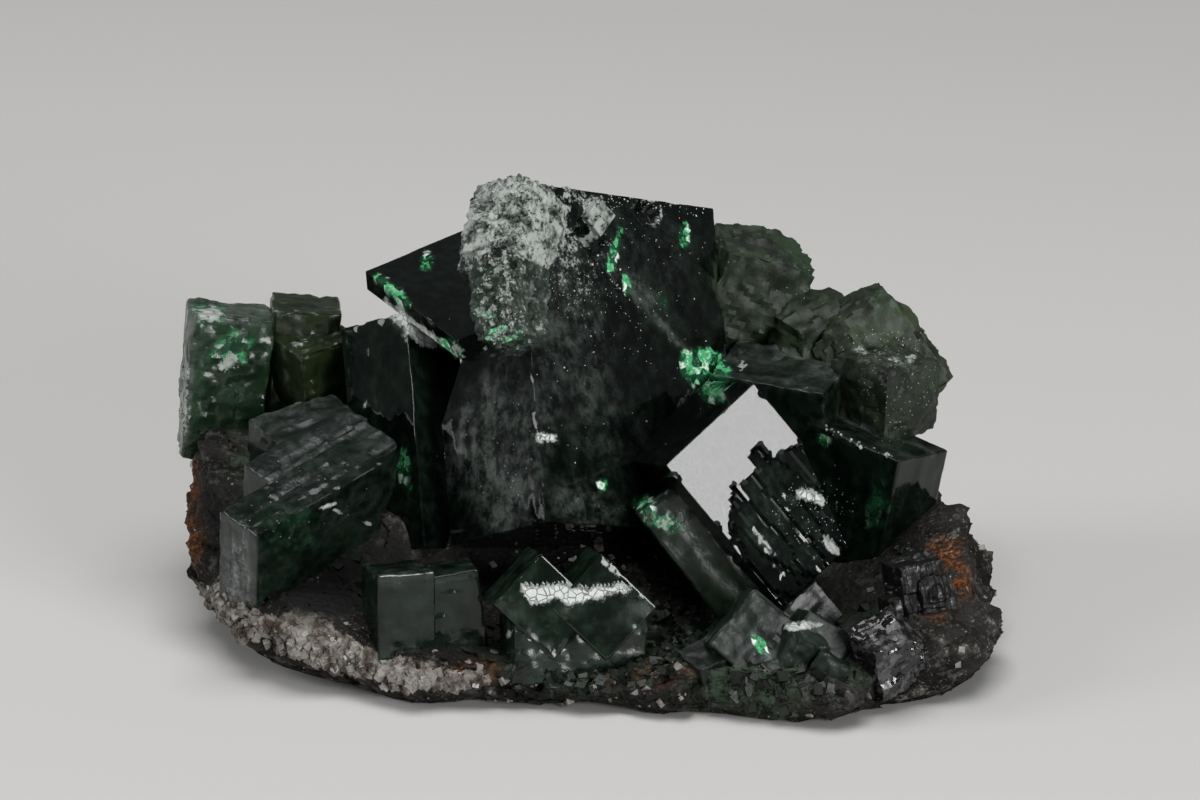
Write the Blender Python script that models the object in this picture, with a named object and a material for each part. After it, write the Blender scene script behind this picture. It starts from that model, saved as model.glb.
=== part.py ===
"""A cluster of green fluorite cubes grown on a piece of rusty grey rock.

Metres, +Z up, origin under the middle of the cluster at the level it rests on.
+X runs to the right along the cluster and +Y runs to its back.
"""
import math
import random

import bmesh
import bpy
import numpy as np
from mathutils import Euler, Matrix, Vector, noise

MM = 0.001
# Clearance between one grown piece and the next, all round.
GAP = 0.3 * MM
# Crystals of one growth share one turn about X, Y and Z, in degrees.
MAIN_TURN = (-24, 16, 42)
WEDGE_TURN = (12, 11, -54)
MIRROR_TURN = (-26, 51, -3)
FRONT_TWIN_TURN = (-19, 45, -2)
LEFT_TURN = (16, -12, 45)
SMALL_TURN = (-6, 2, 20)
BACK_TURN = (-4, 6, 8)
ETCHED_TURN = (-25, 49, -19)

# Each crystal: size along its own axes and centre in millimetres, turn in degrees.
# A cleaved corner is a plane: its outward direction and a point, in half sizes.
MAIN_CRYSTALS = {
    "main_block": dict(size=(31, 15.5, 38), centre=(-0.5, 12.6, 27.3), turn=MAIN_TURN,
                       cleaved=[((-0.25, 1.6, 1.0), (-1, -0.96, 0.98))]),
    "left_block": dict(size=(8, 11, 27), centre=(-20.4, 11.2, 20.0), turn=MAIN_TURN),
    "wedge": dict(size=(19, 18, 16), centre=(-12.1, 17.5, 30.2), turn=WEDGE_TURN,
                  cleaved=[((0, -0.6, -0.8), (0, -1, 0.7))]),
    "mirror_cube": dict(size=(21, 16, 13.5), centre=(17.5, 0.2, 17.4), turn=MIRROR_TURN,
                        cleaved=[((0.28, 0, 0.96), (-0.2, 0, 1))]),
    "mirror_foot": dict(size=(5, 6, 5.5), centre=(23.7, -7.4, 6.0), turn=MIRROR_TURN),
    "green_bar": dict(size=(18, 9, 9), centre=(13.8, -1.8, 11.7), turn=(-28, 52, -7)),
    "back_cube": dict(size=(14, 12, 15), centre=(2.0, 24.5, 24.0), turn=(8, -14, 20)),
    "etched_tall": dict(size=(11.5, 12, 19), centre=(17.4, 28.0, 29.5), turn=(4, 19, 8), seed=3),
    "right_cube": dict(size=(18, 9, 15), centre=(29.6, 10.9, 14.1), turn=(-6, 8, -42)),
    "middle_cube": dict(size=(14, 9, 11), centre=(22.0, 16.2, 22.0), turn=(11, 3, -23)),
    "etched_middle": dict(size=(10, 9, 12), centre=(26.4, 23.0, 26.6), turn=(6, -8, 30), seed=9),
    "etched_right": dict(size=(14, 12, 12), centre=(33.1, 21.3, 26.0), turn=ETCHED_TURN, seed=8),
    "etched_low": dict(size=(9, 9, 9), centre=(33.8, 14.2, 24.6), turn=(-1, 2, -49), seed=5),
    "crest_high": dict(size=(8.5, 8, 9.5), centre=(-8.2, 5.8, 46.2), turn=(-20, 38, 42), seed=11),
    "crest_side": dict(size=(7, 6, 7), centre=(-10.6, 5.2, 43.3), turn=(-20, 40, 42), seed=12),
    "crest_low": dict(size=(6.5, 6, 13), centre=(-8.6, 1.6, 41.0), turn=MAIN_TURN, seed=14),
}
LEFT_CRYSTALS = {
    "left_cube": dict(size=(19, 6, 15), centre=(-31.7, -4.0, 13.4), turn=LEFT_TURN),
    "left_step": dict(size=(15.5, 8.5, 14.5), centre=(-30.1, 2.8, 15.2), turn=LEFT_TURN),
    "left_ledge": dict(size=(11, 8, 13), centre=(-31.5, 9.5, 17.0), turn=(8, -7, 33)),
}
LOW_LEFT_CRYSTALS = {
    "low_cube_a": dict(size=(6.5, 6, 9.5), centre=(-20.6, -13.8, 8.8), turn=SMALL_TURN),
    "low_cube_b": dict(size=(6.2, 6, 9), centre=(-15.0, -11.6, 8.3), turn=(-6, -6, 12)),
}
BACK_LEFT_CRYSTALS = {
    "back_left_cube": dict(size=(9.5, 9, 17), centre=(-42.1, 22.4, 23.4), turn=BACK_TURN,
                           cleaved=[((-1, -0.2, 0.32), (-0.75, -1, 1))]),
    "olive_cube": dict(size=(8, 9, 16), centre=(-33.3, 26.2, 23.4), turn=(-4, 4, 5)),
    "inner_cube": dict(size=(9, 9, 14), centre=(-32.1, 23.5, 22.3), turn=(8, -6, 40)),
}
FRONT_CRYSTALS = {
    "twin_a": dict(size=(9, 8, 7.5), centre=(-5.1, -15.4, 10.2), turn=FRONT_TWIN_TURN),
    "twin_b": dict(size=(8.5, 8, 8), centre=(1.0, -14.5, 9.8), turn=FRONT_TWIN_TURN),
    "twin_foot": dict(size=(15, 8, 8), centre=(-1.6, -15.2, 5.8), turn=(-8, 4, 12)),
}
SUGARY_CRYSTALS = {
    "sugary_a": dict(size=(4.5, 4, 5), centre=(22.8, -21.0, 6.3), turn=(10, 20, 25)),
    "sugary_b": dict(size=(4, 4, 4), centre=(25.6, -21.6, 4.6), turn=(-15, 30, -10)),
    "sugary_c": dict(size=(3.5, 3.5, 3.5), centre=(20.6, -21.8, 4.0), turn=(25, -10, 40)),
    "sugary_d": dict(size=(8, 6, 8), centre=(18.0, -18.0, 6.9), turn=(-28, 40, -10)),
    "sugary_e": dict(size=(6, 5, 5), centre=(13.6, -19.0, 4.2), turn=(10, -15, 30)),
    "sugary_f": dict(size=(6, 5, 7), centre=(24.0, -17.6, 5.6), turn=(-20, 35, 5)),
}
METAL_CRYSTALS = {
    "metal_cube": dict(size=(5, 5, 6), centre=(35.6, -11.5, 10.6), turn=(-8, -6, 22)),
    "metal_step": dict(size=(4, 3.4, 4.6), centre=(37.4, -12.6, 10.2), turn=(-8, -6, 22)),
    "metal_chip": dict(size=(3, 3, 3), centre=(33.6, -13.2, 8.6), turn=(-8, -6, 22)),
}
GLASSY_CRYSTALS = {
    "glassy_block": dict(size=(6.5, 5.5, 7), centre=(32.2, -19.6, 6.0), turn=(12, -18, 30),
                         cleaved=[((1, -0.4, 1), (0.55, -1, 0.7))]),
}

# Crest of the main block, where the corner has crumbled into small blocks.
CREST_BLOCKS = 22
CREST_LENGTH = 19 * MM
CREST_SLOPE = 0.62
CREST_BLOCK_SIZE = (1.4 * MM, 2.6 * MM)
# Marks on the big front face: distance along it and below its top edge.
CHIP_AT = (11.6 * MM, -2.6 * MM)
CHIP_SIZE = 3.2 * MM
PIT_AT = (20 * MM, -1.6 * MM)
PIT_RADIUS = 1.9 * MM
HOLLOW_AT = (10.6 * MM, -6.3 * MM)
HOLLOW_SIZE = (6.5 * MM, 4.6 * MM, 3.4 * MM)
# The broken half of the mirror cube: outline along the face and across it.
BROKEN_OUTLINE = ((12.2, -1), (7.1, 4.2), (7.4, 7.6), (5.6, 7.7), (5.7, 9.6), (7.5, 9.7), (9, 15), (23, 15), (23, -1))
BROKEN_DEPTH = 0.5 * MM
# Long growth steps on top of the left cube: distance from its front edge.
LEFT_RIDGES = ((0.9, 0.35), (2.3, 0.6), (3.8, 0.45), (5.0, 0.7))

# The rock, in millimetres, every 22.5 degrees from +X round through +Y: outline
# radius, rim height, height about half way in, and lift of its lower edge.
ROCK_CENTRE = (0, 4)
ROCK_RADIUS = (45, 40, 36, 31, 30, 32, 42, 49.5, 45, 41, 32.5, 26.5, 26.5, 30, 41, 47.5)
ROCK_RIM = (13.5, 14.5, 16, 18, 18, 18, 18, 19, 18, 10, 5.5, 4.5, 4, 5, 5.5, 9.5)
ROCK_SHOULDER = (6, 11, 18, 20, 20, 20, 18, 16, 14, 8, 5, 4, 4, 4, 3, 4)
ROCK_LIFT = (1, 1, 1, 1, 1, 1, 2, 5, 6, 4, 0.5, 0.5, 1.5, 0.5, 0.5, 0.5)
ROCK_MIDDLE = 8
SHOULDER_SHARE = 0.45
ROCK_AROUND = 84
ROCK_RINGS = (7, 9, 11)
LUMP_DEPTH = 1.5
LEDGE_DEPTH = 1.3
LUMP_WIDTH = 11
LEDGE_WIDTH = 5.5

FLUORITE_GREEN = (0.02, 0.09, 0.05, 1)
FLUORITE_OLIVE = (0.04, 0.08, 0.03, 1)
ROCK_GREY = (0.17, 0.14, 0.11, 1)
METAL_GREY = (0.12, 0.12, 0.13, 1)
GLASSY_GREY = (0.32, 0.31, 0.30, 1)


def clear_scene():
    """An empty file to build in."""
    for thing in list(bpy.data.objects):
        bpy.data.objects.remove(thing, do_unlink=True)


def place_of(spec):
    """Where a crystal stands: its turn about its own centre."""
    turn = Euler([math.radians(angle) for angle in spec["turn"]])
    return Matrix.Translation(Vector(spec["centre"]) * MM) @ turn.to_matrix().to_4x4()


def new_object(name, mesh):
    thing = bpy.data.objects.new(name, mesh)
    bpy.context.scene.collection.objects.link(thing)
    return thing


def mesh_from(bm, name):
    bmesh.ops.recalc_face_normals(bm, faces=bm.faces)
    mesh = bpy.data.meshes.new(name)
    bm.to_mesh(mesh)
    bm.free()
    return mesh


def cleave(bm, direction, point):
    """Takes off everything beyond a plane and closes the cut."""
    geometry = bm.verts[:] + bm.edges[:] + bm.faces[:]
    cut = bmesh.ops.bisect_plane(bm, geom=geometry, plane_co=point, plane_no=direction, clear_outer=True)
    edges = [item for item in cut["geom_cut"] if isinstance(item, bmesh.types.BMEdge)]
    bmesh.ops.contextual_create(bm, geom=edges)


def crystal(name, spec, grow=0.0):
    """A flat-faced block, cleaved where a corner is broken off."""
    size = Vector(spec["size"]) * MM + Vector((2 * grow,) * 3)
    bm = bmesh.new()
    bmesh.ops.create_cube(bm, size=1.0)
    bmesh.ops.scale(bm, vec=size, verts=bm.verts)
    for direction, corner in spec.get("cleaved", ()):
        normal = Vector(direction).normalized()
        point = Vector([share * full / 2 for share, full in zip(corner, spec["size"])]) * MM
        cleave(bm, normal, point + normal * grow)
    bm.transform(place_of(spec))
    return new_object(name, mesh_from(bm, name))


def etched_crystal(name, spec, grow=0.0):
    """A block whose edges are dissolved round and whose faces are lumpy."""
    bm = bmesh.new()
    bmesh.ops.create_cube(bm, size=1.0)
    bmesh.ops.subdivide_edges(bm, edges=bm.edges[:], cuts=5, use_grid_fill=True)
    size = Vector(spec["size"]) * MM
    for vert in bm.verts:
        direction = vert.co.normalized()
        rounded = vert.co.lerp(direction * 0.62, 0.38)
        place = Vector([part * full for part, full in zip(rounded, size)])
        sample = place / (3.2 * MM) + Vector((spec["seed"], 0, 0))
        bump = noise.fractal(sample, 1.0, 2.0, 2) * 0.8 * MM
        vert.co = place + direction * (bump + grow)
    bmesh.ops.triangulate(bm, faces=bm.faces)
    bm.transform(place_of(spec))
    return new_object(name, mesh_from(bm, name))


def block(name, place, size):
    """A plain block, given as its full size in metres."""
    bm = bmesh.new()
    bmesh.ops.create_cube(bm, size=1.0)
    bmesh.ops.scale(bm, vec=size, verts=bm.verts)
    bm.transform(place)
    return new_object(name, mesh_from(bm, name))


def combine(target, tool, operation):
    """Joins the tool to the target, or cuts it out, and removes the tool."""
    step = target.modifiers.new("step", "BOOLEAN")
    step.operation = operation
    step.solver = "EXACT"
    step.object = tool
    bpy.context.view_layer.update()
    seen = target.evaluated_get(bpy.context.evaluated_depsgraph_get())
    mesh = bpy.data.meshes.new_from_object(seen)
    target.modifiers.remove(step)
    target.data = mesh
    bpy.data.objects.remove(tool, do_unlink=True)


def keep_largest(thing):
    """Drops loose crumbs and fills pinholes closed in between grown crystals."""
    bm = bmesh.new()
    bm.from_mesh(thing.data)
    unseen = set(bm.verts)
    islands = []
    while unseen:
        island = {unseen.pop()}
        edge_of = list(island)
        while edge_of:
            vert = edge_of.pop()
            for edge in vert.link_edges:
                other = edge.other_vert(vert)
                if other in unseen:
                    unseen.discard(other)
                    island.add(other)
                    edge_of.append(other)
        islands.append(island)
    islands.sort(key=len)
    for island in islands[:-1]:
        bmesh.ops.delete(bm, geom=list(island), context="VERTS")
    bm.to_mesh(thing.data)
    bm.free()


def join_all(name, things, solid=True):
    """One solid from crystals that have grown into each other."""
    first = things[0]
    for other in things[1:]:
        combine(first, other, "UNION")
    if solid:
        keep_largest(first)
    first.name = name
    first.data.name = name
    return first


def corner_frame(spec, corner):
    """The crystal's own axes with the origin at one of its corners."""
    half = Vector([share * full / 2 for share, full in zip(corner, spec["size"])]) * MM
    return place_of(spec) @ Matrix.Translation(half)


def crest(frame):
    """Small blocks crumbled along the slope where the main corner was."""
    chance = random.Random(12)
    blocks = []
    for step in range(CREST_BLOCKS):
        along = (step + 0.3) / CREST_BLOCKS
        drop = -CREST_LENGTH * along
        back = -CREST_SLOPE * drop * chance.uniform(0.1, 0.95)
        out = chance.uniform(0.2, 2.4) * MM
        side = chance.uniform(*CREST_BLOCK_SIZE)
        tilt = Euler([math.radians(chance.uniform(-14, 14)) for _ in range(3)]).to_matrix().to_4x4()
        place = frame @ Matrix.Translation((out, back, drop - 0.6 * MM)) @ tilt
        blocks.append(block("crest", place, (side, side * 0.8, side * 1.1)))
    return blocks


def main_face_marks(thing, frame):
    """The chip, the round pit and the angular hollow on the big front face."""
    chip_turn = Euler((math.radians(20), math.radians(35), math.radians(10))).to_matrix().to_4x4()
    chip_place = frame @ Matrix.Translation((CHIP_AT[0], 0.5 * MM, CHIP_AT[1])) @ chip_turn
    combine(thing, block("chip", chip_place, (CHIP_SIZE,) * 3), "UNION")
    bm = bmesh.new()
    bmesh.ops.create_icosphere(bm, subdivisions=2, radius=PIT_RADIUS)
    bmesh.ops.scale(bm, vec=(1, 0.8, 0.65), verts=bm.verts)
    bm.transform(frame @ Matrix.Translation((PIT_AT[0], 0, PIT_AT[1])))
    combine(thing, new_object("pit", mesh_from(bm, "pit")), "DIFFERENCE")
    bm = bmesh.new()
    bmesh.ops.create_cone(bm, cap_ends=True, segments=3, radius1=0.6, radius2=0.15, depth=1)
    bmesh.ops.scale(bm, vec=(HOLLOW_SIZE[0], HOLLOW_SIZE[2], HOLLOW_SIZE[1]), verts=bm.verts)
    lie = Matrix.Rotation(math.radians(90), 4, "X")
    bm.transform(frame @ Matrix.Translation((HOLLOW_AT[0], 0.6 * MM, HOLLOW_AT[1])) @ lie)
    combine(thing, new_object("hollow", mesh_from(bm, "hollow")), "DIFFERENCE")


def broken_face(thing, spec):
    """Sinks the broken half of the mirror cube's front, with its square notch."""
    frame = corner_frame(spec, (-1, -1, -1))
    bm = bmesh.new()
    rim = [bm.verts.new((along * MM, -MM, across * MM)) for along, across in BROKEN_OUTLINE]
    face = bm.faces.new(rim)
    grown = bmesh.ops.extrude_face_region(bm, geom=[face])
    deep = [item for item in grown["geom"] if isinstance(item, bmesh.types.BMVert)]
    for vert in deep:
        vert.co.y = BROKEN_DEPTH * (1 + 0.05 * vert.co.x / MM)
    bm.transform(frame)
    combine(thing, new_object("broken", mesh_from(bm, "broken")), "DIFFERENCE")


def ridges(spec):
    """Long low steps along the top of the left cube."""
    frame = corner_frame(spec, (-1, -1, 1))
    length = spec["size"][0] * MM
    steps = []
    for back, height in LEFT_RIDGES:
        place = frame @ Matrix.Translation((length / 2, back * MM, 0))
        steps.append(block("ridge", place, (length * (1.01 - 0.04 * back), 0.8 * MM, 2 * height * MM)))
    return steps


def ease_between(start, end, share):
    """From start to end, slow at both ends."""
    return start + (end - start) * (1 - math.cos(math.pi * share)) / 2


def smooth_ring(values, angle):
    """The value at an angle, eased between neighbours of a ring of values."""
    place = (angle / (2 * math.pi)) % 1 * len(values)
    low = int(place) % len(values)
    return ease_between(values[low], values[(low + 1) % len(values)], place - int(place))


def rock_point(angle, ring):
    """A point on the rock: out under it, up its side and in over its top."""
    radius = smooth_ring(ROCK_RADIUS, angle)
    rim = smooth_ring(ROCK_RIM, angle)
    lift = smooth_ring(ROCK_LIFT, angle)
    under, side, over = ROCK_RINGS
    if ring <= under:
        share = ring / under
        out, height = 0.9 * share * radius, lift * max(0.0, share - 0.72) / 0.28 * 0.6
    elif ring <= under + side:
        share = (ring - under) / side
        out = radius * (0.9 + 0.1 * math.sin(math.pi * min(1.0, 0.15 + share * 0.72)))
        height = lift * 0.6 + (rim - lift * 0.6) * share
    else:
        share = (ring - under - side) / over
        out = radius * 0.94 * (1 - share)
        shoulder = smooth_ring(ROCK_SHOULDER, angle)
        if share < SHOULDER_SHARE:
            height = ease_between(rim, shoulder, share / SHOULDER_SHARE)
        else:
            height = ease_between(shoulder, ROCK_MIDDLE, (share - SHOULDER_SHARE) / (1 - SHOULDER_SHARE))
    return Vector((out * math.cos(angle), out * math.sin(angle), height))


def rough(point, angle, ring):
    """Rock relief: broad lumps with angular ledges on them."""
    last = sum(ROCK_RINGS)
    fade = min(1.0, (last - ring) / 3)
    away = Vector((math.cos(angle), math.sin(angle), 0.35))
    lumps = noise.fractal(point / LUMP_WIDTH, 1.0, 2.0, 2) * LUMP_DEPTH
    cells = noise.voronoi(point / LEDGE_WIDTH)[0]
    ledges = (0.4 - cells[0]) * LEDGE_DEPTH * 2
    return away * ((lumps + ledges) * fade)


def rock():
    """The rock under the crystals, flat where it rests."""
    under = ROCK_RINGS[0]
    last = sum(ROCK_RINGS)
    bm = bmesh.new()
    rings = []
    for ring in range(1, last):
        row = []
        for step in range(ROCK_AROUND):
            angle = 2 * math.pi * step / ROCK_AROUND
            point = rock_point(angle, ring)
            if ring > under - 2:
                point += rough(point, angle, ring)
            height = max(0.0, point.z) if point.z > 0.35 else 0.0
            row.append(bm.verts.new(Vector((point.x, point.y, height)) * MM))
        rings.append(row)
    bottom = bm.verts.new((0, 0, 0))
    top = bm.verts.new((0, 0, ROCK_MIDDLE * MM))
    for step in range(ROCK_AROUND):
        following = (step + 1) % ROCK_AROUND
        bm.faces.new((bottom, rings[0][following], rings[0][step]))
        bm.faces.new((top, rings[-1][step], rings[-1][following]))
        for lower, upper in zip(rings, rings[1:]):
            bm.faces.new((lower[step], lower[following], upper[following], upper[step]))
    bmesh.ops.translate(bm, vec=Vector((*ROCK_CENTRE, 0)) * MM, verts=bm.verts)
    bmesh.ops.triangulate(bm, faces=bm.faces)
    return new_object("matrix", mesh_from(bm, "matrix"))


def material(name, colour, roughness, metallic=0.0, clear=0.0):
    finish = bpy.data.materials.new(name)
    finish.use_nodes = True
    shader = finish.node_tree.nodes["Principled BSDF"]
    shader.inputs["Base Color"].default_value = colour
    shader.inputs["Roughness"].default_value = roughness
    shader.inputs["Metallic"].default_value = metallic
    shader.inputs["Transmission Weight"].default_value = clear
    shader.inputs["IOR"].default_value = 1.434
    return finish


def dress(thing, finish):
    thing.data.materials.clear()
    thing.data.materials.append(finish)


def make_all(group, grow=0.0):
    """Every crystal of a group, each larger by grow on all sides."""
    things = []
    for name, spec in group.items():
        make = etched_crystal if "seed" in spec else crystal
        things.append(make(name, spec, grow))
    return things


def carve_pockets(thing, groups):
    """Leaves room in the rock for every crystal that sits in it."""
    pockets = []
    for group in groups:
        pockets += make_all(group, GAP)
    combine(thing, join_all("pockets", pockets, solid=False), "DIFFERENCE")
    keep_largest(thing)


def fluorite_main():
    """The central twin with every crystal that has grown into it."""
    spec = MAIN_CRYSTALS["main_block"]
    frame = corner_frame(spec, (-1, -1, 1))
    grown = make_all(MAIN_CRYSTALS) + make_all(LEFT_CRYSTALS)
    whole = join_all("fluorite_main", grown + crest(frame) + ridges(LEFT_CRYSTALS["left_cube"]))
    main_face_marks(whole, frame)
    broken_face(whole, MAIN_CRYSTALS["mirror_cube"])
    return whole


def grown_together(name, group):
    return join_all(name, make_all(group))


def centre_all():
    """Puts the origin under the middle of the whole, where it rests."""
    things = [thing for thing in bpy.data.objects if thing.type == "MESH"]
    points = np.array([vert.co for thing in things for vert in thing.data.vertices])
    low, high = points.min(axis=0), points.max(axis=0)
    middle = (low + high) / 2
    for thing in things:
        thing.data.transform(Matrix.Translation((-middle[0], -middle[1], -low[2])))


def build():
    clear_scene()
    fluorite = material("fluorite", FLUORITE_GREEN, 0.08, clear=0.9)
    olive = material("fluorite_olive", FLUORITE_OLIVE, 0.2, clear=0.8)
    stone = material("matrix", ROCK_GREY, 0.9)
    metal = material("galena", METAL_GREY, 0.35, metallic=0.8)
    glassy = material("calcite", GLASSY_GREY, 0.25)
    dress(fluorite_main(), fluorite)
    dress(grown_together("fluorite_low_left", LOW_LEFT_CRYSTALS), fluorite)
    dress(grown_together("fluorite_back_left", BACK_LEFT_CRYSTALS), olive)
    dress(grown_together("fluorite_front_twin", FRONT_CRYSTALS), fluorite)
    dress(grown_together("fluorite_sugary", SUGARY_CRYSTALS), fluorite)
    dress(grown_together("galena", METAL_CRYSTALS), metal)
    dress(grown_together("calcite", GLASSY_CRYSTALS), glassy)
    ground = rock()
    carve_pockets(ground, (MAIN_CRYSTALS, LEFT_CRYSTALS, LOW_LEFT_CRYSTALS, BACK_LEFT_CRYSTALS,
                           FRONT_CRYSTALS, SUGARY_CRYSTALS, METAL_CRYSTALS, GLASSY_CRYSTALS))
    dress(ground, stone)
    centre_all()


build()
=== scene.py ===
import math
import bmesh
import bpy
import numpy as np
from mathutils import Euler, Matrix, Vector


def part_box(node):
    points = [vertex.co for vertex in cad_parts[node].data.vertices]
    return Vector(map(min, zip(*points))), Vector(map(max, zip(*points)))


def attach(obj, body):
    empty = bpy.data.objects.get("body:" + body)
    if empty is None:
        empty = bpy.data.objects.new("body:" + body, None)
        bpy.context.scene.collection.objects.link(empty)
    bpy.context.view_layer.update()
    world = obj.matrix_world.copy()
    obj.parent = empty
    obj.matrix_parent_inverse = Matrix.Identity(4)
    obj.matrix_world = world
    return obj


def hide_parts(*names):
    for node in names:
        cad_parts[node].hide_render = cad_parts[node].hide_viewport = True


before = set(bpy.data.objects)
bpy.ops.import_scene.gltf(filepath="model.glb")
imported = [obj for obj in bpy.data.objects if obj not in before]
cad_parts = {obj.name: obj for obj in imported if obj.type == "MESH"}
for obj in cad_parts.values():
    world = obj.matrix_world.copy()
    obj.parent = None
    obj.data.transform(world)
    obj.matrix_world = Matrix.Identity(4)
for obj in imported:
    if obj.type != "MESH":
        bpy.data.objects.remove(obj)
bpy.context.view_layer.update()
print("stage: frame loaded")

mm = 0.001
tiny = 1e-9

# Turns in degrees about X, Y and Z that crystals of one growth share.
mainTurn = (-24, 16, 42)
mirrorTurn = (-26, 51, -3)
frontTurn = (-19, 45, -2)
leftTurn = (16, -12, 45)
etchedTurn = (-25, 49, -19)
metalTurn = (-8, -6, 22)

# A crystal's faces, as axis and side, and the ways that lines run along them.
topFace, frontFace, leftFace = (2, 1), (1, -1), (0, -1)
alongX, alongZ = 0, 2

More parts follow.
